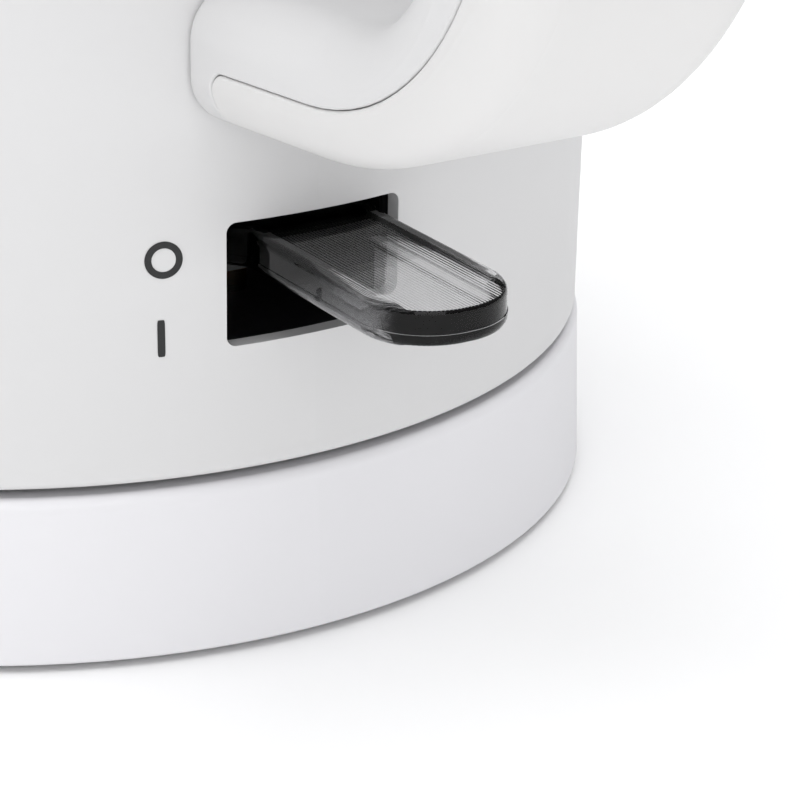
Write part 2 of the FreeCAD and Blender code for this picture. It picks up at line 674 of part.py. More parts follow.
def handle_outline(sketch):
    """The handle's C in side view; its two arms start inside the jug."""
    grip = f"({BACK_X} - grip_depth)"
    lean = f"({grip} - handle_lean / 2)"
    heel = f"({underside('jug_radius')} + heel_depth)"
    deck = f"({DECK_Z} - deck_depth)"
    root = f"({RIM_R} - ledge_width)"
    return outline(sketch, [
        (ROOT_X, underside(ROOT_X)), (BACK_X, underside(BACK_X), "heel_round"),
        (f"{BACK_X} - handle_lean", DECK_Z, "crown_round"), (root, DECK_Z), (root, deck),
        (lean, deck, "finger_round"), (grip, heel, "finger_round"), (ROOT_X, heel),
    ])


def parting_corners(inward, close):
    """The handle's parting line, moved inward, closed off on the side where x is close."""
    start, end = f"(jug_radius + cover_start - {inward})", f"(jug_radius + cover_end - {inward})"
    back = f"({BACK_X} - cover_depth - {inward})"
    heel, depth = f"(cover_heel_depth + {inward})", f"(cover_depth + {inward})"
    low, high = f"({LOW_Z} - cover_depth)", f"({DECK_Z} + cover_depth)"
    return [
        (start, low), (start, f"{underside(start)} + {heel}", "cover_corner"),
        (back, f"{underside(back)} + {heel}", f"parting_round - {inward}"),
        (f"{back} - handle_lean", f"{DECK_Z} - {depth}", f"crown_round - {depth}"),
        (end, f"{DECK_Z} - {depth}", "cover_corner"), (end, high), (close, high), (close, low),
    ]


def cavity_corners():
    """Hollow of the handle between cover and frame."""
    back = f"({BACK_X} - handle_shell)"
    front = f"({BACK_X} - grip_depth + handle_shell)"
    start = "(jug_radius + cover_start + handle_shell)"
    end = "(jug_radius + cover_end + handle_shell)"
    heel = f"({underside('jug_radius')} + heel_depth - handle_shell)"
    deck = f"({DECK_Z} - deck_depth + handle_shell)"
    return [
        (start, f"{underside(start)} + handle_shell"),
        (back, f"{underside(back)} + handle_shell", "heel_round - handle_shell"),
        (f"{back} - handle_lean", f"{DECK_Z} - handle_shell", "crown_round - handle_shell"),
        (end, f"{DECK_Z} - handle_shell"), (end, deck),
        (f"{front} - handle_lean / 2", deck, "finger_round - handle_shell"),
        (front, heel, "finger_round - handle_shell"), (start, heel),
    ]


def is_handle_side(edge, far):
    """Whether an edge lies in one of the handle's side faces, at its back or at its finger gap."""
    half = value(HANDLE_HALF)
    if any(abs(abs(vertex.Y) - half) > 1e-3 for vertex in edge.Vertexes):
        return False
    middle = edge.valueAt((edge.FirstParameter + edge.LastParameter) / 2)
    if abs(abs(middle.y) - half) > 1e-3 or all(vertex.X < value("jug_radius") for vertex in edge.Vertexes):
        return False
    slope = value("handle_slope") * (middle.x - value("jug_radius")) / value("handle_reach")
    depth = min(middle.z - value(LOW_Z) - slope, value(DECK_Z) - middle.z, value(BACK_X) - middle.x)
    return (depth < value("cover_depth")) == far


def handle_bar(body):
    """The whole handle as one rounded bar, before it is parted and hollowed."""
    sketch = handle_outline(new_sketch(body, body.Label + "_side"))
    pad(body, body.Label + "_bar", sketch, "handle_width", SideType="Symmetric")
    round_edges(body, body.Label + "_back_edges", "handle_edge_round",
                lambda edge: is_handle_side(edge, True))
    round_edges(body, body.Label + "_grip_edges", "finger_edge_round",
                lambda edge: is_handle_side(edge, False))


def soften_seam(body, sketch):
    """Round the outer edges that the parting line leaves on the handle's sides."""
    line, deep = sketch.Shape, value(f"{HANDLE_HALF} - handle_edge_round")

    def on_seam(edge):
        middle = edge.valueAt((edge.FirstParameter + edge.LastParameter) / 2)
        if abs(middle.y) < deep or edge.BoundBox.YLength > deep:
            return False
        spot = Part.Vertex(Vector(middle.x, 0, middle.z))
        return line.distToShape(spot)[0] < 0.01

    round_edges(body, body.Label + "_seam_edges", "seam_round", on_seam)


def build_handle_cover():
    body = new_body("handle_cover")
    handle_bar(body)
    sketch = outline(new_sketch(body, "cover_parting"), parting_corners("0", "0"))
    pocket(body, "cover_part", sketch, "2 * handle_width", SideType="Symmetric")
    soften_seam(body, sketch)
    sketch = outline(new_sketch(body, "cover_cavity"), cavity_corners())
    pocket(body, "cover_hollow", sketch, "handle_width - 2 * handle_shell", SideType="Symmetric")
    return body


# Inside of the jug, from below: seal ledge, shoulder, lid ledge and rim.
SEAL_TOP = f"({FLOOR_Z} + seal_thickness)"
LEDGE_TOP = f"({SEAL_TOP} + ledge_thickness)"
LEDGE_R = f"({low_wall(SEAL_TOP, 'jug_wall')} - ledge_width)"
LID_SEAT = f"({RIM_Z} - lid_depth)"
LID_LEDGE_R = f"({high_wall(LID_SEAT, 'jug_wall')} - lid_ledge)"
LID_R = f"({high_wall(RIM_Z, 'jug_wall')} - lid_gap)"
SLOT_Z = f"({JUG_Z} + slot_low)"
SLOT_TOP = f"({SLOT_Z} + slot_height)"
SPOUT_Z = f"({RIM_Z} - spout_height)"


def jug_cavity(sketch):
    rim_in = high_wall(RIM_Z, "jug_wall")
    below, above = f"({JUG_Z} - jug_wall)", f"{DECK_Z} + lid_crown"
    ledge_foot = f"({LID_SEAT} - lid_ledge_thickness - lid_ledge)"
    return outline(sketch, [
        ("0", below), (low_wall(below, "jug_wall"), below), (low_wall(SEAL_TOP, "jug_wall"), SEAL_TOP),
        (LEDGE_R, SEAL_TOP), (LEDGE_R, LEDGE_TOP), (low_wall(LEDGE_TOP, "jug_wall"), LEDGE_TOP),
        shoulder("jug_wall"), (high_wall(ledge_foot, "jug_wall"), ledge_foot),
        (LID_LEDGE_R, f"{LID_SEAT} - lid_ledge_thickness"), (LID_LEDGE_R, LID_SEAT),
        (high_wall(LID_SEAT, "jug_wall"), LID_SEAT), (rim_in, RIM_Z), (rim_in, above), ("0", above),
    ], {6: (f"{ARC_R} - jug_wall", -1)})


def beak_section(body, name, z, reach, half, rounding, inset):
    """Triangular plan of the spout at one height; inset 1 gives its inside, 0 its outside."""
    sketch = new_sketch(body, name, "XY_Plane", z)
    corner = f"-({RIM_R} + {reach} - {inset} * spout_wall)"
    side = f"({half} - {inset} * spout_side_wall)"
    return outline(sketch, [
        ("-spout_back", side), (corner, "0", f"{rounding} - {inset} * spout_side_wall"),
        ("-spout_back", f"-{side}"),
    ])


def beak(body, kind, name, inset):
    root = beak_section(body, name + "_root", SPOUT_Z, "spout_root_reach", "spout_root_half_width",
                        "spout_root_round", inset)
    top = beak_section(body, name + "_top", RIM_Z, "spout_reach", "spout_half_width",
                       "spout_tip_round", inset)
    item = feature(body, kind, name, root, Sections=[top], Ruled=True)
    doc.recompute()
    return item


HEEL_TOP = f"({LOW_Z} + heel_depth)"


def end_lower_arm(body):
    """End the lower arm just off the wall with round edges, and join it to the jug by a hidden neck."""
    low, high = f"({LOW_Z} - handle_low / 2)", f"({HEEL_TOP} + heel_depth)"
    sketch = outline(new_sketch(body, "heel_end_profile"), [
        ("0", low), (f"{low_wall(low)} + heel_gap", low),
        (f"{low_wall(high)} + heel_gap", high), ("0", high)])
    revolve(body, "heel_end", sketch, "Groove")

    def at_end(edge):
        for step in (0.02, 0.5, 0.98):
            point = edge.valueAt(edge.FirstParameter + step * (edge.LastParameter - edge.FirstParameter))
            wall = value(f"{low_wall(str(point.z))} + heel_gap")
            if abs(math.hypot(point.x, point.y) - wall) > 0.01:
                return False
        return True

    round_edges(body, "heel_end_edges", "heel_end_round", at_end)
    foot, top = f"{LOW_Z} + heel_neck", f"{HEEL_TOP} - heel_neck"
    tip = "(jug_radius + cover_start)"
    sketch = outline(new_sketch(body, "heel_neck_side"), [
        (ROOT_X, foot), (tip, foot), (tip, top), (ROOT_X, top)])
    pad(body, "heel_neck_bar", sketch, "handle_width - 2 * heel_neck", SideType="Symmetric")


def is_root_seam(edge):
    """Whether an edge is where the handle's upper arm meets the jug's wall."""
    if edge.Degenerated or max(abs(edge.BoundBox.YMin), abs(edge.BoundBox.YMax)) < 0.1:
        return False
    if edge.BoundBox.ZMin < value(HEEL_TOP):
        return False
    for step in (0.02, 0.25, 0.5, 0.75, 0.98):
        point = edge.valueAt(edge.FirstParameter + step * (edge.LastParameter - edge.FirstParameter))
        wall = high_wall(str(point.z)) if point.z > value(SHOULDER_Z) else low_wall(str(point.z))
        if point.x < 0 or abs(point.y) > value(HANDLE_HALF) + 0.1:
            return False
        if abs(math.hypot(point.x, point.y) - value(wall)) > 0.03:
            return False
    return True


def build_jug_body():
    body = new_body("jug_body")
    handle_bar(body)
    end_lower_arm(body)
    sketch = outline(new_sketch(body, "jug_profile"), [
        ("0", JUG_Z), ("jug_radius", JUG_Z), shoulder(), (RIM_R, RIM_Z), ("0", RIM_Z)], {2: (ARC_R, -1)})
    revolve(body, "jug_turned", sketch)
    round_edges(body, "root_blend", "root_round", is_root_seam)
    round_edges(body, "jug_lower_edge", "rim_round",
                lambda edge: is_ring(edge, value("jug_radius"), value(JUG_Z)))
    beak(body, "AdditiveLoft", "spout", "0")
    revolve(body, "jug_inside", jug_cavity(new_sketch(body, "cavity_profile")), "Groove")
    beak(body, "SubtractiveLoft", "spout_inside", "1")
    sketch = circle(new_sketch(body, "deck_front", "XY_Plane", RIM_Z), "0", "0",
                    f"{high_wall(RIM_Z, 'jug_wall')} + deck_setback")
    pocket(body, "deck_trim", sketch, "2 * deck_rise", Reversed=True)

    sketch = outline(new_sketch(body, "frame_parting"),
                     parting_corners("seam_gap", f"{BACK_X} + cover_depth"))
    pocket(body, "frame_part", sketch, "2 * handle_width", SideType="Symmetric")
    soften_seam(body, sketch)
    sketch = outline(new_sketch(body, "frame_cavity"), cavity_corners())
    pocket(body, "frame_hollow", sketch, "handle_width - 2 * handle_shell", SideType="Symmetric")

    half = "slot_width / 2"
    sketch = outline(new_sketch(body, "slot_outline", "YZ_Plane"), [
        (f"-{half}", SLOT_Z, "slot_round"), (half, SLOT_Z, "slot_round"),
        (half, SLOT_TOP, "slot_round"), (f"-{half}", SLOT_TOP, "slot_round")])
    pocket(body, "switch_slot", sketch, "jug_radius + shoulder_bulge + jug_wall", Reversed=True)

    sketch = window_outline(new_sketch(body, "window_cutout"), "0")
    pocket(body, "window_slots", sketch, "2 * (jug_radius + shoulder_bulge + jug_wall)",
           SideType="Symmetric")

    recess_back = f"{HINGE_X} + knuckle_radius + recess_gap"
    recess_floor = f"({HINGE_Z} - knuckle_radius - recess_gap)"
    above = f"{DECK_Z} + deck_rise"
    sketch = outline(new_sketch(body, "hinge_recess_side"), [
        (f"{LID_LEDGE_R} - lid_ledge", recess_floor), (recess_back, recess_floor),
        (recess_back, above), (f"{LID_LEDGE_R} - lid_ledge", above)])
    pocket(body, "hinge_recess", sketch, "2 * (knuckle_half + recess_gap)", SideType="Symmetric")
    sketch = circle(new_sketch(body, "hinge_hole_side"), HINGE_X, HINGE_Z, "hinge_pin_radius + running_gap")
    pocket(body, "hinge_hole", sketch, "2 * (hinge_pin_half + fit_gap)", SideType="Symmetric")

    wide = "(button_width / 2 + fit_gap)"
    sketch = outline(new_sketch(body, "well_plan", "XY_Plane", above), [
        (WELL_FRONT, f"-{wide}", "button_round"), (WELL_BACK, f"-{wide}", "button_round"),
        (WELL_BACK, wide, "button_round"), (WELL_FRONT, wide, "button_round")])
    pocket(body, "button_well", sketch, "well_depth + deck_rise")
    nose_top = f"{HINGE_Z} + hinge_pin_radius"
    sketch = outline(new_sketch(body, "slideway_side"), [
        (f"{recess_back} - recess_gap", WELL_FLOOR), (f"{WELL_FRONT} + button_round", WELL_FLOOR),
        (f"{WELL_FRONT} + button_round", nose_top), (f"{recess_back} - recess_gap", nose_top)])
    pocket(body, "slideway", sketch, "latch_width + 2 * latch_slide_gap", SideType="Symmetric")
    sketch = circle(new_sketch(body, "spring_pit_plan", "XY_Plane", WELL_FLOOR), SPRING_X, "0",
                    "button_spring_radius + button_spring_wire + fit_gap")
    pocket(body, "spring_pit_hole", sketch, "spring_pit")
    return body


def window_outline(sketch, gap):
    half = f"(window_width / 2 - {gap})"
    low, high = f"({JUG_Z} + window_low + {gap})", f"({JUG_Z} + window_low + window_height - {gap})"
    rounding = f"{half} * 0.9"
    return outline(sketch, [(f"-{half}", low, rounding), (half, low, rounding),
                            (half, high, rounding), (f"-{half}", high, rounding)])


def build_window(label, right):
    """A curved pane, cut from a bar by the jug's inner and outer wall surfaces."""
    body = new_body(label)
    pad(body, label + "_bar", window_outline(new_sketch(body, label + "_front"), "window_gap"),
        "jug_radius + 2 * shoulder_bulge + jug_wall", Reversed=right)
    low, high = f"({JUG_Z} + window_low - jug_wall)", f"({JUG_Z} + window_low + window_height + jug_wall)"
    inside = outline(new_sketch(body, label + "_inside"), [
        ("0", low), (low_wall(low, "jug_wall"), low), shoulder("jug_wall"),
        (high_wall(high, "jug_wall"), high), ("0", high)], {2: (f"{ARC_R} - jug_wall", -1)})
    revolve(body, label + "_inner_face", inside, "Groove")
    far = "2 * jug_radius"
    outside = outline(new_sketch(body, label + "_outside"), [
        (low_wall(low), low), (far, low), (far, high), (high_wall(high), high), shoulder()],
        {3: (ARC_R, 1)})
    revolve(body, label + "_outer_face", outside, "Groove")
    return body


# Heater stack under the water floor, from the plate down.
PLATE_LOW = f"({FLOOR_Z} - plate_thickness)"
CLAMP_LOW = f"({PLATE_LOW} - clamp_thickness)"
SPREADER_LOW = f"({PLATE_LOW} - spreader_thickness)"
TUBE_X = "(jug_radius - tube_inset)"
POST_R = f"({LINED_R} - clamp_width / 2)"
COVER_LOW = f"({JUG_Z} + cover_rise)"
COVER_TOP = f"({COVER_LOW} + cover_thickness)"
CUP_TOP = f"({BASE_TOP} + socket_rise + cup_headroom)"
BLOCK_LOW = f"({SPREADER_LOW} - control_block)"
SPREADER_R = "(jug_radius - spreader_inset)"
ELEMENT_R = f"({SPREADER_R} - element_inset)"
POST_TURN = 60


def disc(label, inside, outside, low, high):
    """A flat ring, or a disc where inside is 0."""
    return spin(label, [(inside, low), (outside, low), (outside, high), (inside, high)])


def build_heating_plate():
    body = disc("heating_plate", "0", LINED_R, PLATE_LOW, FLOOR_Z)
    sketch = circle(new_sketch(body, "steam_hole_plan", "XY_Plane", FLOOR_Z), TUBE_X, "0",
                    "tube_radius + grommet_wall")
    pocket(body, "steam_hole", sketch, "2 * plate_thickness")
    return body


def build_clamp_ring():
    body = disc("clamp_ring", f"{LINED_R} - clamp_width", LINED_R, CLAMP_LOW, PLATE_LOW)
    x, y = f"{POST_R} * cos({POST_TURN})", f"{POST_R} * sin({POST_TURN})"
    sketch = circle(new_sketch(body, "post_plan", "XY_Plane", COVER_TOP), x, y, "post_radius")
    post = pad(body, "post", sketch, f"{CLAMP_LOW} - {COVER_TOP} + clamp_thickness / 2")
    sketch = circle(new_sketch(body, "post_hole_plan", "XY_Plane", COVER_TOP), x, y,
                    "screw_radius + running_gap")
    hole = pocket(body, "post_hole", sketch, "screw_bite + fit_gap", Reversed=True)
    around(body, "posts", [post, hole])
    return body


def build_bottom_cover():
    hole = "(socket_radius + fit_gap + base_wall + cover_hole_gap)"
    rest_in, rest_out = "rest_ring_radius - rest_ring_width / 2", "rest_ring_radius + rest_ring_width / 2"
    body = spin("bottom_cover", [
        (hole, COVER_LOW), (rest_in, COVER_LOW), (rest_in, BASE_TOP), (rest_out, BASE_TOP),
        (rest_out, COVER_LOW), (LINED_R, COVER_LOW), (LINED_R, COVER_TOP), (hole, COVER_TOP)])
    x, y = f"{POST_R} * cos({POST_TURN})", f"{POST_R} * sin({POST_TURN})"
    sketch = circle(new_sketch(body, "cover_head_plan", "XY_Plane", COVER_LOW), x, y,
                    "screw_head_radius + fit_gap")
    head = pocket(body, "cover_head_recess", sketch, "screw_head_height", Reversed=True)
    sketch = circle(new_sketch(body, "cover_shank_plan", "XY_Plane", COVER_LOW), x, y,
                    "screw_radius + running_gap")
    shank = pocket(body, "cover_shank_hole", sketch, "2 * cover_thickness", Reversed=True)
    around(body, "cover_screw_holes", [head, shank])
    return body


def build_heating_element():
    body = new_body("heating_element")
    z = f"({SPREADER_LOW} - element_tube - running_gap)"
    sketch = circle(new_sketch(body, "tube_section"), ELEMENT_R, z, "element_tube")
    feature(body, "Revolution", "heating_tube", sketch, ReferenceAxis=(sketch, ["V_Axis"]),
            Angle="element_arc", Midplane=True)
    sketch = new_sketch(body, "terminal_plan", "XY_Plane", z)
    angle = "(element_arc / 2 - 4)"
    for sign in ("", "-"):
        circle(sketch, f"{ELEMENT_R} * cos({angle})", f"{sign}{ELEMENT_R} * sin({angle})", "terminal_radius")
    pad(body, "terminals", sketch, "terminal_length", Reversed=True)
    return body


def build_control_unit():
    """Thermal control: a cup for the base's connector, a round part and a block on the spreader."""
    cup = "(socket_radius + cup_gap)"
    low = f"{BASE_TOP} + collar_height + 2 * fit_gap"
    top = f"{BLOCK_LOW} + control_ceiling"
    body = spin("control_unit", [
        (cup, low), (f"{cup} + cup_wall", low), (f"{cup} + cup_wall", CUP_TOP), ("control_radius", CUP_TOP),
        ("control_radius", top), ("0", top), ("0", CUP_TOP), (cup, CUP_TOP)])
    x, y = "control_length / 2", "control_width / 2"
    sketch = outline(new_sketch(body, "block_plan", "XY_Plane", BLOCK_LOW), [
        (f"-{x}", f"-{y}", "control_round"), (x, f"-{y}", "control_round"),
        (x, y, "control_round"), (f"-{x}", y, "control_round")])
    pad(body, "block", sketch, "control_block")
    sketch = new_sketch(body, "disc_plan", "XY_Plane", SPREADER_LOW)
    for place in ("bimetal_offset", "-bimetal_offset"):
        circle(sketch, place, "0", "bimetal_radius + fit_gap")
    pocket(body, "disc_pockets", sketch, "bimetal_recess")
    return body


def build_cutout_bimetals():
    z = f"{SPREADER_LOW} - bimetal_recess"
    return group("cutout_bimetals", [
        rod("front_bimetal", "bimetal_radius", "bimetal_sheet", "bimetal_offset", "0", z),
        rod("rear_bimetal", "bimetal_radius", "bimetal_sheet", "-bimetal_offset", "0", z)])


def build_connector_contacts():
    pin = rod("connector_pin", "pin_radius", "pin_length", "0", "0", f"{CUP_TOP} - pin_length")
    ring = sleeve("connector_ring", "ring_radius + ring_blade / 2", "ring_radius - ring_blade / 2",
                  "blade_length", "0", f"{CUP_TOP} - blade_length")
    return group("connector_contacts", [pin, ring])


# Switch: a paddle on an axle in a black housing behind the slot.
PIVOT_X = "(jug_radius - pivot_inset)"
PIVOT_Z = f"({SLOT_TOP} - lever_rest - lever_thickness / 2)"
POCKET_LOW = f"({SLOT_Z} - housing_headroom)"
POCKET_TOP = f"({SLOT_TOP} + housing_headroom)"
HOUSING_HALF = "(slot_width / 2 + housing_wall)"
HOUSING_TOP = f"({POCKET_TOP} + housing_wall)"
POCKET_BACK = f"({PIVOT_X} - housing_tail)"


def build_switch_housing():
    body = new_body("switch_housing")
    back = f"({POCKET_BACK} - housing_wall)"
    front = f"sqrt({LINED_R}^2 - {HOUSING_HALF}^2)"
    low = f"({POCKET_LOW} - housing_wall)"
    sketch = outline(new_sketch(body, "housing_plan", "XY_Plane", low), [
        (back, f"-{HOUSING_HALF}"), (front, f"-{HOUSING_HALF}"),
        (front, HOUSING_HALF), (back, HOUSING_HALF)],
        {1: (LINED_R, -1)})
    pad(body, "housing_block", sketch, f"{HOUSING_TOP} - {low}")
    tongue_front = "(control_length / 2 + fit_gap)"
    y = "tongue_width / 2"
    sketch = outline(new_sketch(body, "tongue_plan", "XY_Plane", f"{BLOCK_LOW} + tongue_rise"), [
        (tongue_front, f"-{y}"), (f"{back} + housing_wall / 2", f"-{y}"),
        (f"{back} + housing_wall / 2", y), (tongue_front, y)])
    pad(body, "tongue", sketch, "tongue_thickness")
    y = "slot_width / 2"
    sketch = outline(new_sketch(body, "pocket_outline", "YZ_Plane", POCKET_BACK), [
        (f"-{y}", POCKET_LOW), (y, POCKET_LOW), (y, POCKET_TOP), (f"-{y}", POCKET_TOP)])
    pocket(body, "switch_pocket", sketch, "pivot_inset + housing_tail", Reversed=True)
    sketch = circle(new_sketch(body, "axle_hole_side"), PIVOT_X, PIVOT_Z, "pivot_radius + running_gap")
    pocket(body, "axle_holes", sketch, f"2 * {HOUSING_HALF} + housing_wall", SideType="Symmetric")
    return body


def build_switch_lever():
    """Paddle, root block and hub, drawn from the axle.

    Fine grooves run lengthwise between two smooth rails, on top and below, and out at the nose.
    """
    body = new_body("switch_lever")
    body.Placement.Rotation = FreeCAD.Rotation(Vector(0, 1, 0), value("lever_tilt"))
    bind(body, Placement__Base__x=PIVOT_X, Placement__Base__z=PIVOT_Z)
    bind(body, Placement__Rotation__Angle="lever_tilt")
    half, nose = "(lever_width / 2)", "(pivot_inset + lever_reach)"
    front, wide = "(pivot_inset - lever_root_inset)", "(slot_width / 2 - lever_root_gap)"
    levels = [("foot", "-lever_thickness / 2", "lever_step_height", "0"),
              ("paddle", "lever_step_height - lever_thickness / 2", "lever_thickness - lever_step_height",
               "lever_step")]
    for name, z, height, inset in levels:
        side, tip, corner = f"({half} - {inset})", f"({nose} - {inset})", f"lever_nose_round - {inset}"
        sketch = outline(new_sketch(body, name + "_plan", "XY_Plane", z), [
            ("0", f"-{wide}"), (front, f"-{wide}", "lever_flare_round"),
            (f"{front} + lever_flare", f"-{side}", "lever_flare_round"), (tip, f"-{side}", corner),
            (tip, side, corner), (f"{front} + lever_flare", side, "lever_flare_round"),
            (front, wide, "lever_flare_round"), ("0", wide)])
        pad(body, name, sketch, height)
    face, start = value("lever_thickness / 2"), value(f"{front} + 0.1")
    rims = [("upper_edges", "lever_edge_round", face), ("lower_edges", "lever_foot_round", -face)]
    for name, rounding, z in rims:
        round_edges(body, name, rounding, lambda edge: edge.BoundBox.ZLength < 1e-3
                    and abs(edge.BoundBox.ZMin - z) < 1e-3 and edge.BoundBox.XMax > start)

    rail, top = f"({half} - rail_width)", "(lever_thickness / 2)"
    sketch = new_sketch(body, "field_section", "YZ_Plane", front)
    for up in ("", "-"):
        mouth, bed = f"({rail} + field_depth)", f"({rail} - field_depth)"
        outer, inner = f"{up}({top} + field_depth)", f"{up}({top} - field_depth)"
        outline(sketch, [(f"-{mouth}", outer), (mouth, outer), (bed, inner), (f"-{bed}", inner)])
    pocket(body, "ribbed_fields", sketch, "2 * lever_reach", Reversed=True)
    floor_half = f"({rail} - field_depth)"
    count = f"floor(2 * {floor_half} / rib_pitch)"
    first = f"(-rib_pitch * ({count} - 1) / 2)"
    sketch = new_sketch(body, "groove_section", "YZ_Plane", front)
    for up in ("", "-"):
        edge, root = f"{up}({top} - field_depth + rib_depth)", f"{up}({top} - field_depth - rib_depth)"
        outline(sketch, [(f"{first} - rib_groove", edge), (first, root), (f"{first} + rib_groove", edge)])
    groove = pocket(body, "groove", sketch, "2 * lever_reach", Reversed=True)
    pattern = body.newObject("PartDesign::LinearPattern", "grooves")
    pattern.Originals = [groove]
    pattern.Direction = (origin_feature(body, "Y_Axis"), [""])
    bind(pattern, Length=f"rib_pitch * ({count} - 1)", Occurrences=count)
    body.Tip = pattern

    sketch = outline(new_sketch(body, "root_plan", "XY_Plane", "-lever_root_height / 2"), [
        (f"{front} - lever_root_depth", f"-{wide}"), (front, f"-{wide}"),
        (front, wide), (f"{front} - lever_root_depth", wide)])
    pad(body, "root_block", sketch, "lever_root_height")
    pad(body, "hub", circle(new_sketch(body, "hub_side"), "0", "0", "hub_radius"), f"2 * {wide}",
        SideType="Symmetric")
    sketch = circle(new_sketch(body, "bore_side"), "0", "0", "pivot_radius + running_gap")
    pocket(body, "bore", sketch, "2 * slot_width", SideType="Symmetric")
    return body


def build_switch_spring():
    """Leaf spring between the pocket's back and the lever's hub, bowed towards the hub."""
    body = new_body("switch_spring")
    low, high = f"{PIVOT_Z} - spring_half", f"{PIVOT_Z} + spring_half"
    bow = "(housing_tail - hub_radius - spring_strip - fit_gap)"
    radius = f"((spring_half^2 + {bow}^2) / (2 * {bow}))"
    outer = f"{POCKET_BACK} + spring_strip"
    sketch = outline(new_sketch(body, "spring_side"), [
        (POCKET_BACK, low), (outer, low), (outer, high), (POCKET_BACK, high)],
        {1: (radius, -1), 3: (radius, 1)})
    pad(body, "spring_leaf", sketch, "spring_width", SideType="Symmetric")
    return body


def named(label, item):
    item.Label = label
    return item


def build_steam_grommet():
    hole = "tube_radius + grommet_wall - running_gap"
    body = fused("grommet_form", rod("grommet_body", hole, "2 * plate_thickness", TUBE_X, "0", PLATE_LOW),
                 rod("grommet_flange_disc", f"{hole} + grommet_flange", "grommet_height",
                     TUBE_X, "0", FLOOR_Z))
    bore = rod("grommet_bore", "tube_radius + running_gap",
               "4 * plate_thickness + grommet_height", TUBE_X, "0",
               f"{PLATE_LOW} - plate_thickness")
    return named("steam_grommet", cut("steam_grommet", body, bore))


# Lid: a domed cap with a liner, hinged on a pin in the handle's deck.
DOME_R = f"(({LID_R}^2 + lid_crown^2) / (2 * lid_crown))"
DOME_Z = f"({RIM_Z} + lid_crown - {DOME_R})"
SKIRT_Z = f"({LID_SEAT} + lid_play)"


def under_dome(r):
    return f"({DOME_Z} + sqrt(({DOME_R} - lid_sheet)^2 - ({r})^2))"


def build_lid_cap():
    body = new_body("lid_cap")
    inner = f"({LID_R} - lid_sheet)"
    sketch = outline(new_sketch(body, "cap_profile"), [
        ("0", under_dome("0")), (inner, under_dome(inner)), (inner, SKIRT_Z), (LID_R, SKIRT_Z),
        (LID_R, RIM_Z), ("0", f"{RIM_Z} + lid_crown")], {0: (f"{DOME_R} - lid_sheet", 1), 4: (DOME_R, -1)})
    revolve(body, "cap_turned", sketch)
    round_edges(body, "cap_edge", "rim_round", lambda edge: is_ring(edge, value(LID_R), value(RIM_Z)))
    inside = f"{LID_R} - lid_sheet - rim_round"
    low, high = f"{HINGE_Z} - knuckle_radius / 2", f"{HINGE_Z} + knuckle_radius * 0.8"
    sketch = outline(new_sketch(body, "tab_side"), [
        (inside, low), (HINGE_X, low), (HINGE_X, high), (inside, high)])
    pad(body, "tab", sketch, "2 * knuckle_half", SideType="Symmetric")
    sketch = circle(new_sketch(body, "knuckle_side"), HINGE_X, HINGE_Z, "knuckle_radius")
    pad(body, "knuckle", sketch, "2 * knuckle_half", SideType="Symmetric")
    sketch = circle(new_sketch(body, "knuckle_hole_side"), HINGE_X, HINGE_Z,
                    "hinge_pin_radius + running_gap")
    pocket(body, "knuckle_hole", sketch, "4 * knuckle_half", SideType="Symmetric")
    sketch = circle(new_sketch(body, "spring_room_side"), HINGE_X, HINGE_Z,
                    "hinge_pin_radius + 2 * spring_wire + 2 * fit_gap")
    pocket(body, "spring_room", sketch, "2 * knuckle_bore_half", SideType="Symmetric")
    rear = f"({HINGE_X} + knuckle_radius + recess_gap)"
    notch = f"{HINGE_X} + knuckle_radius - knuckle_notch"
    sketch = outline(new_sketch(body, "notch_side"), [
        (notch, f"{HINGE_Z} - knuckle_radius / 2"), (rear, f"{HINGE_Z} - knuckle_radius / 2"),
        (rear, f"{HINGE_Z} + hinge_pin_radius"), (notch, f"{HINGE_Z} + hinge_pin_radius")])
    pocket(body, "latch_notch", sketch, "latch_width", SideType="Symmetric")
    return body


def build_lid_liner():
    edge = f"({LID_R} - liner_inset)"
    low = f"({SKIRT_Z} - liner_depth)"
    top = f"{under_dome(edge)} - running_gap"
    return spin("lid_liner", [
        ("0", low), (edge, low, "lid_sheet"), (edge, top), (f"{edge} - lid_sheet", top),
        (f"{edge} - lid_sheet", f"{low} + lid_sheet"), ("0", f"{low} + lid_sheet")])


def coil(label, radius, wire, height, x, y, z, turned):
    """A coil spring along Z from its place, or along Y where it is turned."""
    helix = doc.addObject("Part::Helix", label + "_line")
    bind(helix, Radius=radius, Height=height, Pitch=f"({height}) / spring_turns",
         Placement__Base__x=x, Placement__Base__y=y, Placement__Base__z=z)
    wire_end = doc.addObject("Part::RegularPolygon", label + "_section")
    wire_end.Polygon = 6
    bind(wire_end, Circumradius=wire)
    bind(wire_end, Placement__Base__x=f"{x} + {radius}", Placement__Base__y=y, Placement__Base__z=z)
    quarter = FreeCAD.Rotation(Vector(1, 0, 0), -90)
    helix.Placement.Rotation = quarter if turned else FreeCAD.Rotation()
    wire_end.Placement.Rotation = FreeCAD.Rotation() if turned else quarter
    sweep = doc.addObject("Part::Sweep", label)
    sweep.Label = label
    sweep.Sections, sweep.Spine = [wire_end], (helix, [])
    sweep.Solid, sweep.Frenet = True, True
    return sweep


# Lid release: a button whose wedge pushes the latch back through a slanted hole.
SPRING_X = f"({WELL_BACK} - button_spring_inset)"
BUTTON_LOW = f"({DECK_Z} + button_proud - button_height)"
LATCH_LOW = f"({WELL_FLOOR} + latch_slide_gap)"
LATCH_TOP = f"({LATCH_LOW} + latch_height)"
RAMP_X = f"({WELL_FRONT} + ramp_start)"
WEDGE_X = f"({RAMP_X} - fit_gap * sqrt(2))"


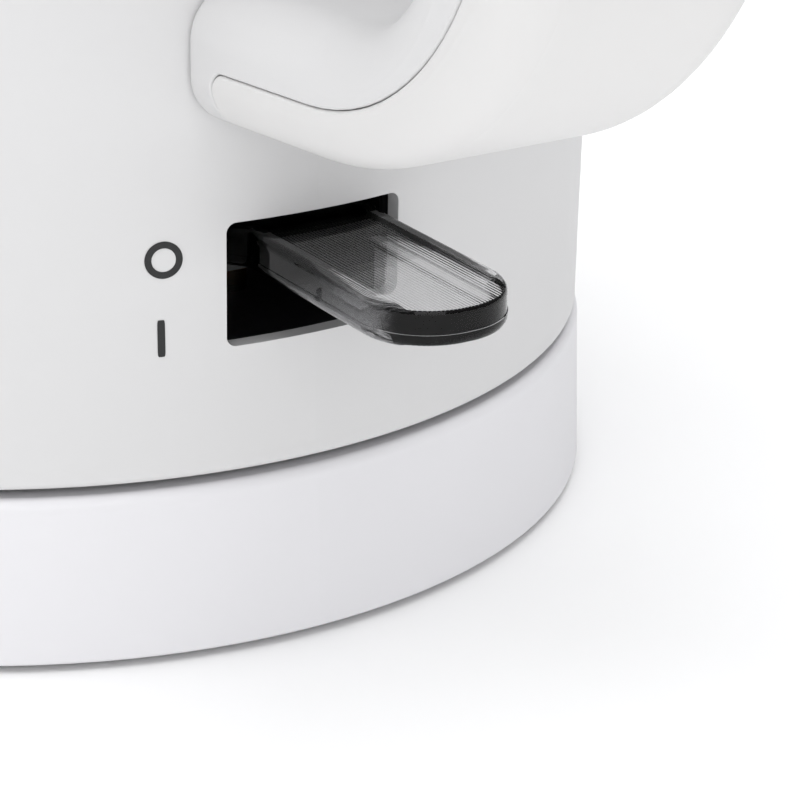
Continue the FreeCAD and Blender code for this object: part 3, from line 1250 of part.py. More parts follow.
def build_lid_button():
    body = new_body("lid_button")
    front, back, wide = f"({WELL_FRONT} + fit_gap)", f"({WELL_BACK} - fit_gap)", "button_width / 2"
    sketch = outline(new_sketch(body, "cap_plan", "XY_Plane", BUTTON_LOW), [
        (front, f"-{wide}", "button_round"), (back, f"-{wide}", "button_round"),
        (back, wide, "button_round"), (front, wide, "button_round")])
    pad(body, "button_cap", sketch, "button_height")
    top = value(f"{BUTTON_LOW} + button_height")
    round_edges(body, "cap_edges", "rim_round",
                lambda edge: edge.BoundBox.ZMin > top - 1e-3)
    tip = f"({LATCH_TOP} - fit_gap)"
    tip_x = f"({WEDGE_X} - fit_gap)"
    sketch = outline(new_sketch(body, "wedge_side"), [
        (f"{tip_x} - wedge_tip", tip), (tip_x, tip), (f"{WEDGE_X} + {BUTTON_LOW} - {LATCH_TOP}", BUTTON_LOW),
        (f"{tip_x} - wedge_tip", BUTTON_LOW)])
    pad(body, "wedge", sketch, "latch_width - 2 * latch_side - 2 * fit_gap", SideType="Symmetric")
    return body


def build_lid_latch():
    body = new_body("lid_latch")
    nose = f"({HINGE_X} + knuckle_radius + fit_gap)"
    nose_top = f"{HINGE_Z} + hinge_pin_radius - fit_gap"
    tail = f"{RAMP_X} + latch_tail"
    sketch = outline(new_sketch(body, "latch_side_view"), [
        (nose, LATCH_LOW), (tail, LATCH_LOW), (tail, LATCH_TOP), (f"{nose} + latch_nose", LATCH_TOP),
        (f"{nose} + latch_nose", nose_top), (nose, nose_top)])
    pad(body, "latch_bar", sketch, "latch_width", SideType="Symmetric")
    front = f"({WEDGE_X} - fit_gap - wedge_tip - button_travel - 2 * fit_gap)"
    sketch = outline(new_sketch(body, "ramp_side"), [
        (front, LATCH_LOW), (f"{RAMP_X} - latch_height", LATCH_LOW),
        (RAMP_X, LATCH_TOP), (front, LATCH_TOP)])
    pocket(body, "ramp_hole", sketch, "latch_width - 2 * latch_side", SideType="Symmetric")
    return body


# Filter: a tapered frame with a mesh, standing in the spout's throat in front of the lid.
FILTER_X = f"({LID_R} + filter_gap)"
FILTER_TOP = f"({RIM_Z} - filter_drop)"
FILTER_LOW = f"({FILTER_TOP} - filter_height)"


def throat(x, z):
    """Half width of the spout's inside at distance x from the axis and height z."""
    share = f"(({z} - {SPOUT_Z}) / spout_height)"
    corner = f"({RIM_R} + spout_root_reach - spout_wall + (spout_reach - spout_root_reach) * {share})"
    side = (f"(spout_root_half_width - spout_side_wall"
            f" + (spout_half_width - spout_root_half_width) * {share})")
    return f"({side} * ({corner} - {x}) / ({corner} - spout_back))"


def filter_corners(border):
    outer = f"({FILTER_X} + filter_thickness)"
    low, high = f"({FILTER_LOW} + {border})", f"({FILTER_TOP} - {border})"
    half_low = f"({throat(outer, low)} - filter_side_gap - {border})"
    half_top = f"({throat(outer, high)} - filter_side_gap - {border})"
    return [(f"-{half_low}", low), (half_low, low), (half_top, high), (f"-{half_top}", high)]


def build_filter_frame():
    body = new_body("filter_frame")
    sketch = outline(new_sketch(body, "frame_front", "YZ_Plane", f"-{FILTER_X}"), filter_corners("0"))
    pad(body, "frame_plate", sketch, "filter_thickness", Reversed=True)
    sketch = outline(new_sketch(body, "frame_window", "YZ_Plane", f"-{FILTER_X}"),
                     filter_corners("filter_border"))
    pocket(body, "frame_opening", sketch, "filter_thickness")
    top = f"{FILTER_TOP} + filter_drop / 2"
    sketch = outline(new_sketch(body, "tab_front", "YZ_Plane", f"-{FILTER_X}"), [
        ("-filter_tab", f"{FILTER_TOP} - filter_border / 2"),
        ("filter_tab", f"{FILTER_TOP} - filter_border / 2"),
        ("filter_tab", top), ("-filter_tab", top)])
    pad(body, "lifting_tab", sketch, "filter_thickness", Reversed=True)
    return body


def build_filter_mesh():
    """A thin plate behind the frame's opening, with square holes wherever a whole hole fits."""
    border = "filter_border / 2"
    corners = [(value(y), value(z)) for y, z in filter_corners(border)]
    x, pitch, hole = value(f"-{FILTER_X}"), value("mesh_pitch"), value("mesh_hole") / 2
    wires = [Part.makePolygon([Vector(x, y, z) for y, z in corners + corners[:1]])]
    half_low, low, half_top, high = corners[1] + corners[2]
    margin = value("filter_border")
    for row in range(int((high - low - 2 * margin) / pitch) + 1):
        z = low + margin + row * pitch
        half = half_low + (half_top - half_low) * (z - low) / (high - low) - margin
        for column in range(-int(half / pitch), int(half / pitch) + 1):
            y = column * pitch
            square = [(y - hole, z - hole), (y + hole, z - hole), (y + hole, z + hole), (y - hole, z + hole)]
            wires.append(Part.makePolygon([Vector(x, a, b) for a, b in square + square[:1]]))
    mesh = doc.addObject("Part::Feature", "filter_mesh")
    mesh.Label = "filter_mesh"
    plate = Part.Face(wires, "Part::FaceMakerBullseye")
    mesh.Shape = plate.extrude(Vector(value("mesh_thickness"), 0, 0))
    print(f"filter mesh: {len(wires) - 1} holes")
    return mesh


base_boss_r = f"({BASE_R} - base_boss_inset)"
tube_low = f"({HOUSING_TOP} + bimetal_sheet + fit_gap)"
PARTS = [
    build_base_cover(),
    build_base_plate(),
    build_foot_ring(),
    build_base_socket(),
    build_socket_contacts(),
    build_cord_gland(),
    screws("base_screws", base_boss_r, "(foot_height + screw_head_height)",
           "screw_bite + base_floor - screw_head_height", 0),
    build_jug_body(),
    build_handle_cover(),
    build_window("window_right", True),
    build_window("window_left", False),
    build_heating_plate(),
    disc("plate_seal", f"{LEDGE_R} + fit_gap", LINED_R, FLOOR_Z, SEAL_TOP),
    build_clamp_ring(),
    disc("heat_spreader", "0", SPREADER_R, SPREADER_LOW, PLATE_LOW),
    build_heating_element(),
    build_control_unit(),
    build_cutout_bimetals(),
    build_connector_contacts(),
    build_bottom_cover(),
    screws("bottom_screws", POST_R, f"({COVER_LOW} + screw_head_height)",
           "screw_bite + cover_thickness - screw_head_height", POST_TURN),
    build_switch_housing(),
    build_switch_lever(),
    named("switch_pin",
          rod("switch_pin", "pivot_radius", f"2 * {HOUSING_HALF}", PIVOT_X, "0", PIVOT_Z, "y")),
    build_switch_spring(),
    named("lamp", rod("lamp", "lamp_radius", "lamp_height", f"{PIVOT_X} + lamp_offset", "0", POCKET_LOW)),
    named("steam_bimetal", rod("steam_bimetal", "bimetal_radius - fit_gap", "bimetal_sheet", TUBE_X, "0",
                               HOUSING_TOP)),
    named("steam_tube", sleeve("steam_tube", "tube_radius", "tube_radius - tube_wall",
                               f"{RIM_Z} - tube_headroom - {tube_low}", TUBE_X, tube_low)),
    build_steam_grommet(),
    build_lid_cap(),
    build_lid_liner(),
    named("hinge_pin",
          rod("hinge_pin", "hinge_pin_radius", "2 * hinge_pin_half", HINGE_X, "0", HINGE_Z, "y")),
    coil("lid_spring", "(hinge_pin_radius + spring_wire + fit_gap)", "spring_wire",
         "2 * (knuckle_bore_half - spring_wire - fit_gap)", HINGE_X,
         "-(knuckle_bore_half - spring_wire - fit_gap)", HINGE_Z, True),
    build_lid_button(),
    coil("button_spring", "button_spring_radius", "button_spring_wire",
         f"{BUTTON_LOW} - {WELL_FLOOR} + spring_pit - 2 * (button_spring_wire + running_gap)", SPRING_X, "0",
         f"{WELL_FLOOR} - spring_pit + button_spring_wire + running_gap", False),
    build_lid_latch(),
    build_filter_frame(),
    build_filter_mesh(),
]

doc.recompute()
for item in doc.Objects:
    assert not {"Invalid", "Error"} & set(item.State), f"{item.Label} failed: {item.State}"
for part in PARTS:
    assert not part.Shape.isNull() and part.Shape.isValid(), f"{part.Label} has no valid shape"

os.makedirs("parts", exist_ok=True)
for part in PARTS:
    part.Shape.exportStep(f"parts/{part.Label}.step")
    print(f"{part.Label}: {len(part.Shape.Solids)} solid(s), {part.Shape.Volume / 1000:.2f} cm3")
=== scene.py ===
# %% [markdown]
# # A white jug kettle on its power base
# The kettle arrives as 38 solid pieces that already have their right shape, size and place.
# This lesson gives them their looks: a camera, a bright studio, moulded white plastic, a smoky
# see-through switch paddle, and the small things that are printed or wound.
# All lengths are metres: the table is z = 0, the handle points along +X and the spout along -X.

# %% Load the kettle's pieces
import math

import bpy
import numpy as np
from mathutils import Matrix, Vector


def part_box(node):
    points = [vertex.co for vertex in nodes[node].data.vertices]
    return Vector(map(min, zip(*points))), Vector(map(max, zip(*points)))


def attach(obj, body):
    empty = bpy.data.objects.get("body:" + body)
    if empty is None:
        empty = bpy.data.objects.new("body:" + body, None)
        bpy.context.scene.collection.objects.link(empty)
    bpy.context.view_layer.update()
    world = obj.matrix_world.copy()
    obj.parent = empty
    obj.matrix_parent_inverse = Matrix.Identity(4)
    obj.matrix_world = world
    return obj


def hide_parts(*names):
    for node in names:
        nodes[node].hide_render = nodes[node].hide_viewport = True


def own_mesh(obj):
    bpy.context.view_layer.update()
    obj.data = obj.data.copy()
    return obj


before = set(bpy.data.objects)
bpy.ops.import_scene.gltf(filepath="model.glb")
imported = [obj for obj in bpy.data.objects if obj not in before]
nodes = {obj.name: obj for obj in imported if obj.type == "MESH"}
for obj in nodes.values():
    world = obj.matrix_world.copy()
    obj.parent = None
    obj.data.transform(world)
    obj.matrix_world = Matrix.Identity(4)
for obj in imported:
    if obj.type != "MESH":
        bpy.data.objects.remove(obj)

MM = 0.001
scene = bpy.context.scene
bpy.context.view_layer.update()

# %% [markdown]
# ## Camera
# A product close-up is taken with a long lens, so the round base stays calm and the handle isn't
# blown up. The place could be found by eye, but it is safer to write down the three directions that
# the camera sees as right, up and back, because a rotation matrix takes them just as they are.

# %% Camera from three directions
CAMERA_PLACE = (0.40480, -0.19656, 0.17909)
CAMERA_RIGHT = (0.53658, 0.84385, 0.0)
CAMERA_UP = (-0.30339, 0.19292, 0.93313)
CAMERA_BACK = (0.78742, -0.50070, 0.35953)
SENSOR_WIDTH, FOCAL_LENGTH, NEAREST = 36.0, 148.757, 0.02

lens = bpy.data.cameras.new("close_up")
lens.sensor_width = SENSOR_WIDTH
lens.lens = FOCAL_LENGTH
lens.clip_start = NEAREST
camera = bpy.data.objects.new("close_up", lens)
scene.collection.objects.link(camera)
turn = Matrix((CAMERA_RIGHT, CAMERA_UP, CAMERA_BACK)).transposed().to_4x4()
camera.matrix_world = Matrix.Translation(CAMERA_PLACE) @ turn
scene.camera = camera
print("camera", round(Vector(CAMERA_PLACE).length, 3), "m from the table's middle")

# %% [markdown]
# ## Floor and light
# White things on white need light from everywhere and some directions that are a little stronger,
# or their edges vanish. A pale sky gives the ground tone: brighter overhead, and dim near the horizon,
# so that glossy pieces have something dark to mirror. Three soft boxes could be one, but each has its
# own task. The one overhead makes the floor white, so that walls are greyer than the floor. The one in
# front fills the wall below the handle, and the one on the left lifts the handle's foot off the wall.


# %% Pale floor
def flat_floor(half, cells):
    """A square grid at z = 0: x and y run from -half to half in equal steps."""
    steps = np.linspace(-half, half, cells + 1)
    x, y = np.meshgrid(steps, steps)
    corners = np.stack([x, y, np.zeros_like(x)], axis=-1).reshape(-1, 3)
    first = (np.arange(cells)[:, None] * (cells + 1) + np.arange(cells)).ravel()
    quads = np.stack([first, first + 1, first + cells + 2, first + cells + 1], axis=-1)
    mesh = bpy.data.meshes.new("floor")
    mesh.from_pydata(corners.tolist(), [], quads.tolist())
    item = bpy.data.objects.new("floor", mesh)
    scene.collection.objects.link(item)
    return item


FLOOR_HALF, FLOOR_CELLS = 4.0, 8
floor = flat_floor(FLOOR_HALF, FLOOR_CELLS)
print("floor", len(floor.data.polygons), "squares")


# %% Sky and soft boxes
def soft_box(name, place, aim, width, power):
    """A square lamp at place that faces the point aim."""
    light = bpy.data.lights.new(name, "AREA")
    light.size = width
    light.energy = power
    item = bpy.data.objects.new(name, light)
    scene.collection.objects.link(item)
    item.location = place
    item.rotation_euler = (Vector(aim) - Vector(place)).to_track_quat("-Z", "Y").to_euler()
    return item


HORIZON, ZENITH, SKY_TINT = 0.26, 0.9, (0.98, 0.985, 1.0, 1.0)
SOFT_BOXES = (  # name, place, aim, width in metres, power in watts
    ("overhead_box", (0.15, -0.1, 1.6), (0.0, 0.0, 0.1), 1.6, 17.0),
    ("front_box", (1.35, -0.6, 0.3), (0.05, 0.0, 0.05), 1.2, 9.0),
    ("left_box", (-0.5, -1.3, 0.45), (0.06, 0.0, 0.07), 1.0, 4.0))

sky = bpy.data.worlds.new("pale_sky")
sky.use_nodes = True
glow = sky.node_tree.nodes["Background"]
glow.inputs["Color"].default_value = SKY_TINT
direction = sky.node_tree.nodes.new("ShaderNodeTexCoord")
axes = sky.node_tree.nodes.new("ShaderNodeSeparateXYZ")
rise = sky.node_tree.nodes.new("ShaderNodeMapRange")
rise.inputs["To Min"].default_value, rise.inputs["To Max"].default_value = HORIZON, ZENITH
sky.node_tree.links.new(direction.outputs["Generated"], axes.inputs[0])
sky.node_tree.links.new(axes.outputs["Z"], rise.inputs["Value"])
sky.node_tree.links.new(rise.outputs[0], glow.inputs["Strength"])
scene.world = sky
scene.view_settings.view_transform = "Standard"
for box in SOFT_BOXES:
    soft_box(*box)
print("sky and", len(SOFT_BOXES), "soft boxes")

# %% [markdown]
# ## Tools for finishes
# A finish is a small graph of nodes. Writing each link by hand gets long, so one helper adds a node
# and fills its inputs: a number is set on the socket, and a socket is linked to it. A second one
# starts a node group, which is how an effect that several finishes share is kept in one place.


# %% Helpers for node graphs
def put(tree, kind, inputs=None, **settings):
    """Adds one node; each named or numbered input takes a value or another node's socket."""
    node = tree.nodes.new(kind)
    for name, setting in settings.items():
        setattr(node, name, setting)
    for name, given in (inputs or {}).items():
        if isinstance(given, bpy.types.NodeSocket):
            tree.links.new(given, node.inputs[name])
        else:
            node.inputs[name].default_value = given
    return node


SOCKETS = {"colour": "NodeSocketColor", "value": "NodeSocketFloat"}


def effect(name, inputs, outputs):
    """Starts a node group and returns its tree, its input sockets and its output sockets."""
    tree = bpy.data.node_groups.new(name, "ShaderNodeTree")
    for label, kind, start in inputs:
        tree.interface.new_socket(label, in_out="INPUT", socket_type=SOCKETS[kind]).default_value = start
    for label, kind in outputs:
        tree.interface.new_socket(label, in_out="OUTPUT", socket_type=SOCKETS[kind])
    given = tree.nodes.new("NodeGroupInput").outputs
    result = tree.nodes.new("NodeGroupOutput").inputs
    return tree, given, result


def sum_of(tree, first, second, operation="ADD"):
    """One sum, product or other step of arithmetic."""
    return put(tree, "ShaderNodeMath", {0: first, 1: second}, operation=operation).outputs[0]


def between(tree, factor, first, second):
    """A colour between two others."""
    node = put(tree, "ShaderNodeMix", {0: factor, 6: first, 7: second}, data_type="RGBA")
    return node.outputs[2]


def cloud(tree, place, scale, detail=2.0):
    """Soft noise, from 0 to 1, with this many features in a metre."""
    return put(tree, "ShaderNodeTexNoise", {"Vector": place, "Scale": scale, "Detail": detail}).outputs[0]


print("helpers ready")

# %% [markdown]
# ## Moulded skin
# Plastic from a mould is never one flat tone. The melt leaves faint clouds of colour, the mould's
# polish differs from place to place, and the surface ripples a little where it shrank. Each of these
# is soft noise at its own size. One group makes all three, so that every plastic can share it.

# %% Group: moulded skin
SMEARS_PER_CLOUD, RIPPLES = 7.0, 70.0


def make_moulded_skin():
    """Colour = tint darkened by clouds; roughness = gloss plus clouds; height = ripple plus grain."""
    tree, given, result = effect(
        "moulded_skin",
        [("Tint", "colour", (0.8, 0.8, 0.8, 1.0)), ("Clouding", "value", 0.03),
         ("Cloud Scale", "value", 22.0), ("Gloss", "value", 0.35), ("Gloss Spread", "value", 0.1),
         ("Grain Scale", "value", 1400.0), ("Grain Share", "value", 0.4)],
        [("Colour", "colour"), ("Roughness", "value"), ("Height", "value")])
    place = put(tree, "ShaderNodeTexCoord").outputs["Object"]
    clouds = cloud(tree, place, given["Cloud Scale"], 3.0)
    darker = put(tree, "ShaderNodeHueSaturation", {"Color": given["Tint"], "Value": sum_of(
        tree, 1.0, given["Clouding"], "SUBTRACT")}).outputs[0]
    tree.links.new(between(tree, clouds, given["Tint"], darker), result["Colour"])
    smears = cloud(tree, place, sum_of(tree, given["Cloud Scale"], SMEARS_PER_CLOUD, "MULTIPLY"), 4.0)
    swing = sum_of(tree, sum_of(tree, smears, 0.5, "SUBTRACT"), given["Gloss Spread"], "MULTIPLY")
    tree.links.new(sum_of(tree, given["Gloss"], swing), result["Roughness"])
    grain = sum_of(tree, cloud(tree, place, given["Grain Scale"]), given["Grain Share"], "MULTIPLY")
    ripple = cloud(tree, place, RIPPLES, 1.0)
    tree.links.new(sum_of(tree, ripple, grain), result["Height"])
    return tree


moulded_skin = make_moulded_skin()
print("group", moulded_skin.name, len(moulded_skin.nodes), "nodes")

# %% [markdown]
# ## Dust
# Fine dust settles on faces that look up, and more in some places than others. The normal's upward
# part, times noise, gives that mask. On white it would not show, so the dark pieces get it.


# %% Group: settled dust
def make_settled_dust():
    """Colour = base mixed with dust by (upward normal) times (noise above a threshold) times amount."""
    tree, given, result = effect(
        "settled_dust",
        [("Base", "colour", (0.05, 0.05, 0.05, 1.0)), ("Dust", "colour", (0.45, 0.44, 0.42, 1.0)),
         ("Amount", "value", 0.2), ("Scale", "value", 160.0)],
        [("Colour", "colour")])
    place = put(tree, "ShaderNodeTexCoord").outputs["Object"]
    upward = put(tree, "ShaderNodeSeparateXYZ", {0: put(tree, "ShaderNodeNewGeometry").outputs["Normal"]})
    facing = put(tree, "ShaderNodeMapRange", {"Value": upward.outputs["Z"], 1: 0.0, 2: 1.0}).outputs[0]
    flecks = cloud(tree, place, given["Scale"], 6.0)
    patches = put(tree, "ShaderNodeMapRange", {"Value": flecks, 1: 0.45, 2: 0.75}).outputs[0]
    mask = sum_of(tree, sum_of(tree, facing, patches, "MULTIPLY"), given["Amount"], "MULTIPLY")
    tree.links.new(between(tree, mask, given["Base"], given["Dust"]), result["Colour"])
    return tree


settled_dust = make_settled_dust()
print("group", settled_dust.name, len(settled_dust.nodes), "nodes")

# %% [markdown]
# ## Tool marks on metal
# Rolled, drawn or turned metal carries fine lines in one direction. Noise gives such lines when it is
# squeezed: many changes across the marks and few along them. For a turned disc the direction goes
# round the axis, so the noise reads the distance from the axis in place of x and y.


# %% Group: tool marks
def make_tool_marks():
    """Lines = noise of (stretch x, stretch y, stretch z), or of the radius where Turned is 1."""
    tree, given, result = effect(
        "tool_marks",
        [("Metal", "colour", (0.6, 0.6, 0.6, 1.0)), ("Stain", "colour", (0.4, 0.38, 0.35, 1.0)),
         ("Stain Amount", "value", 0.15), ("Gloss", "value", 0.3), ("Gloss Spread", "value", 0.15),
         ("Across", "value", 2600.0), ("Along", "value", 40.0), ("Turned", "value", 0.0)],
        [("Colour", "colour"), ("Roughness", "value"), ("Height", "value")])
    place = put(tree, "ShaderNodeTexCoord").outputs["Object"]
    axes = put(tree, "ShaderNodeSeparateXYZ", {0: place}).outputs
    radius = sum_of(tree, sum_of(tree, sum_of(tree, axes["X"], axes["X"], "MULTIPLY"),
                                 sum_of(tree, axes["Y"], axes["Y"], "MULTIPLY")), 0.5, "POWER")
    side = put(tree, "ShaderNodeMix", {0: given["Turned"], 2: axes["Y"], 3: radius}).outputs[0]
    run = sum_of(tree, sum_of(tree, axes["X"], sum_of(tree, 1.0, given["Turned"], "SUBTRACT"), "MULTIPLY"),
                 given["Along"], "MULTIPLY")
    stretched = put(tree, "ShaderNodeCombineXYZ", {
        0: run, 1: sum_of(tree, side, given["Across"], "MULTIPLY"),
        2: sum_of(tree, axes["Z"], given["Across"], "MULTIPLY")}).outputs[0]
    lines = cloud(tree, stretched, 1.0, 3.0)
    blotches = cloud(tree, place, 55.0, 4.0)
    patch = put(tree, "ShaderNodeMapRange", {"Value": blotches, 1: 0.4, 2: 0.8}).outputs[0]
    tree.links.new(between(tree, sum_of(tree, patch, given["Stain Amount"], "MULTIPLY"),
                           given["Metal"], given["Stain"]), result["Colour"])
    swing = sum_of(tree, sum_of(tree, lines, 0.5, "SUBTRACT"), given["Gloss Spread"], "MULTIPLY")
    tree.links.new(sum_of(tree, given["Gloss"], swing), result["Roughness"])
    tree.links.new(lines, result["Height"])
    return tree


tool_marks = make_tool_marks()
print("group", tool_marks.name, len(tool_marks.nodes), "nodes")

# %% [markdown]
# ## From group to finish
# A finish is one shader with a group in front of it. The group's colour, roughness and height change
# over the surface and are linked. What is the same all over, such as how strongly light is bent, is
# set on the shader's own socket, where an exported model can find it.


# %% A finish with one group in front of its shader
def finish(name, group, values, bump=(0.1, 0.02 * MM), **shader_values):
    """A material: group -> Principled shader, with the group's height as a bump of (strength, depth)."""
    material = bpy.data.materials.new(name)
    material.use_nodes = True
    tree = material.node_tree
    shader = tree.nodes["Principled BSDF"]
    skin = put(tree, "ShaderNodeGroup", node_tree=group)
    for label, given in values.items():
        skin.inputs[label].default_value = given
    tree.links.new(skin.outputs["Colour"], shader.inputs["Base Color"])
    tree.links.new(skin.outputs["Roughness"], shader.inputs["Roughness"])
    dent = put(tree, "ShaderNodeBump", {"Strength": bump[0], "Distance": bump[1],
                                        "Height": skin.outputs["Height"]})
    tree.links.new(dent.outputs[0], shader.inputs["Normal"])
    for label, given in shader_values.items():
        shader.inputs[label.replace("_", " ")].default_value = given
    return material


def with_dust(material, amount, scale=160.0):
    """Puts the dust group between a finish's colour and its shader."""
    tree = material.node_tree
    socket = tree.nodes["Principled BSDF"].inputs["Base Color"]
    colour = socket.links[0].from_socket
    dust = put(tree, "ShaderNodeGroup", node_tree=settled_dust)
    dust.inputs["Amount"].default_value = amount
    dust.inputs["Scale"].default_value = scale
    tree.links.new(colour, dust.inputs["Base"])
    tree.links.new(dust.outputs["Colour"], socket)
    return material


def wear(material, *names):
    """Gives the named pieces this finish."""
    for name in names:
        for slot in nodes[name].material_slots:
            slot.material = material
    print(material.name, "on", ", ".join(names))


print("finish, with_dust and wear ready")

# %% [markdown]
# ## White plastic
# Jug, handle, base and lid are the same satin white, yet no two mouldings match exactly: the handle
# is a little warmer and the base a little cooler. Three tints of one finish keep that. The reflection
# stays soft, so the roughness is high, and the bump is only just enough to break it up.

# %% White mouldings
WHITE_JUG = (0.64, 0.638, 0.64, 1.0)
WHITE_HANDLE = (0.66, 0.655, 0.65, 1.0)
WHITE_BASE = (0.74, 0.735, 0.755, 1.0)


def white_plastic(name, tint):
    """Satin white with slow clouds of tone."""
    return finish(name, moulded_skin, {"Tint": tint, "Clouding": 0.025, "Cloud Scale": 18.0, "Gloss": 0.4,
                                       "Gloss Spread": 0.12, "Grain Scale": 1500.0, "Grain Share": 0.25},
                  bump=(0.06, 0.05 * MM), IOR=1.5, Specular_IOR_Level=0.4)


wear(white_plastic("white_jug", WHITE_JUG), "jug_body", "lid_cap", "lid_liner", "bottom_cover", "steam_tube",
     "filter_frame", "lid_latch")
wear(white_plastic("white_handle", WHITE_HANDLE), "handle_cover", "lid_button")
wear(white_plastic("white_base", WHITE_BASE), "base_cover")

# %% [markdown]
# ## Smoky paddle
# The switch paddle looks black at first sight, but it is see-through: where the white wall lies behind
# it the ribs shine grey, and where the dark slot lies behind it they are black. A dark opaque plastic
# could never do both. So it is made as clear plastic with smoke in it, which is an absorbing volume:
# short ways through stay bright, long ways go dark. Its steep faces and its root also get painted shade:
# a darker colour that stands in for the dark slot seen through them.
# Two masks do that: one from the normal, one from x.


# %% Smoky see-through plastic
def see_through(name, tint, gloss, smoke, smoke_density, clouding=0.02, bending=1.5):
    """Clear plastic: a transmitting shader, and a volume that absorbs with the length of the way."""
    material = finish(name, moulded_skin, {"Tint": tint, "Clouding": clouding, "Cloud Scale": 90.0,
                                           "Gloss": gloss, "Gloss Spread": gloss, "Grain Scale": 900.0,
                                           "Grain Share": 0.1}, bump=(0.03, 0.02 * MM), IOR=bending)
    tree = material.node_tree
    tree.nodes["Principled BSDF"].inputs["Transmission Weight"].default_value = 1.0
    volume = put(tree, "ShaderNodeVolumeAbsorption", {"Color": smoke, "Density": smoke_density})
    tree.links.new(volume.outputs[0], tree.nodes["Material Output"].inputs["Volume"])
    return material


STEEP, FLAT = 0.35, 0.85


def paint_edge_and_root_shade(material, edge_shade, root_shade, full_shade_until, shade_gone_from):
    """Colour = finish's colour, darkened as painted shade by 1 - |upward normal| and by x between two places.
    """
    tree = material.node_tree
    socket = tree.nodes["Principled BSDF"].inputs["Base Color"]
    colour = socket.links[0].from_socket
    normal = put(tree, "ShaderNodeSeparateXYZ", {0: put(tree, "ShaderNodeNewGeometry").outputs["Normal"]})
    flat = sum_of(tree, normal.outputs["Z"], 0.0, "ABSOLUTE")
    # painted shade on steep faces: 1 where the face stands upright, 0 where it lies flat
    edge_shade_mask = put(tree, "ShaderNodeMapRange", {"Value": flat, 1: STEEP, 2: FLAT, 3: 1.0, 4: 0.0}).outputs[0]
    place = put(tree, "ShaderNodeSeparateXYZ", {0: put(tree, "ShaderNodeTexCoord").outputs["Object"]})
    # painted shade towards the root: full up to the first place in x, gone beyond the second
    root_shade_mask = put(tree, "ShaderNodeMapRange", {"Value": place.outputs["X"], 1: full_shade_until, 2: shade_gone_from,
                                            3: 1.0, 4: 0.0}).outputs[0]
    tree.links.new(between(tree, root_shade_mask, between(tree, edge_shade_mask, colour, edge_shade), root_shade), socket)
    return material


# Painted shade: a grey for the paddle's steep faces, and a near black for its root that fades out along x.
SMOKE, EDGE_SHADE, ROOT_SHADE = (0.2, 0.2, 0.21, 1.0), (0.3, 0.3, 0.31, 1.0), (0.04, 0.04, 0.045, 1.0)
FULL_SHADE_UNTIL, SHADE_GONE_FROM = 74.0 * MM, 92.0 * MM
smoky_paddle = see_through("smoky_paddle", (0.98, 0.98, 0.985, 1.0), 0.03, SMOKE, 20.0, bending=1.3)
wear(paint_edge_and_root_shade(smoky_paddle, EDGE_SHADE, ROOT_SHADE, FULL_SHADE_UNTIL, SHADE_GONE_FROM), "switch_lever")

# %% [markdown]
# ## Windows and lamp
# The level windows are the same kind of clear plastic with a trace of blue and a slightly milky face.
# The little lamp below the paddle is amber glass.

# %% Windows and lamp
wear(see_through("clear_window", (0.86, 0.9, 0.93, 1.0), 0.12, (0.5, 0.6, 0.7, 1.0), 25.0, 0.05),
     "window_right", "window_left")
wear(see_through("amber_lamp", (0.95, 0.5, 0.2, 1.0), 0.08, (0.9, 0.4, 0.1, 1.0), 200.0), "lamp")

# %% [markdown]
# ## Dark and grey plastics, rubber and silicone
# The connector, the control and the switch's pocket are black plastic with glass fibre, which leaves a
# dull and slightly streaky face. The pocket sits behind the slot and has to stay truly dark. Rubber has
# no gloss at all, and silicone has a soft milky one.


# %% Dull mouldings
def dull_plastic(name, tint, gloss, grain=900.0):
    """Matt moulded plastic with a clear grain."""
    return finish(name, moulded_skin, {"Tint": tint, "Clouding": 0.2, "Cloud Scale": 60.0, "Gloss": gloss,
                                       "Gloss Spread": 0.15, "Grain Scale": grain, "Grain Share": 0.9},
                  bump=(0.25, 0.05 * MM))


wear(dull_plastic("pocket_black", (0.004, 0.004, 0.005, 1.0), 0.55), "switch_housing")
wear(with_dust(dull_plastic("connector_black", (0.022, 0.022, 0.024, 1.0), 0.5), 0.12), "base_socket",
     "control_unit")
wear(with_dust(dull_plastic("plate_grey", (0.5, 0.5, 0.51, 1.0), 0.55, 600.0), 0.2), "base_plate")
wear(with_dust(dull_plastic("foot_rubber", (0.05, 0.05, 0.05, 1.0), 0.85, 1800.0), 0.35), "foot_ring")
wear(dull_plastic("gland_rubber", (0.62, 0.62, 0.63, 1.0), 0.7, 1800.0), "cord_gland")
wear(dull_plastic("milky_silicone", (0.66, 0.64, 0.6, 1.0), 0.5, 400.0), "plate_seal", "steam_grommet")

# %% [markdown]
# ## Metals
# The water stands on a turned steel plate, the heater below it is cast aluminium, the contacts are
# brass and the snap discs are rolled from two metals. They share the tool marks and differ in colour,
# in gloss and in how far the marks run.


# %% Metals
def metal(name, colour, stain, gloss, turned=0.0, across=2600.0, stain_amount=0.2):
    """A metal with lines along X, or round the axis where turned is 1."""
    return finish(name, tool_marks, {"Metal": colour, "Stain": stain, "Stain Amount": stain_amount,
                                     "Gloss": gloss, "Gloss Spread": 0.2, "Across": across,
                                     "Turned": turned}, bump=(0.15, 0.02 * MM), Metallic=1.0)


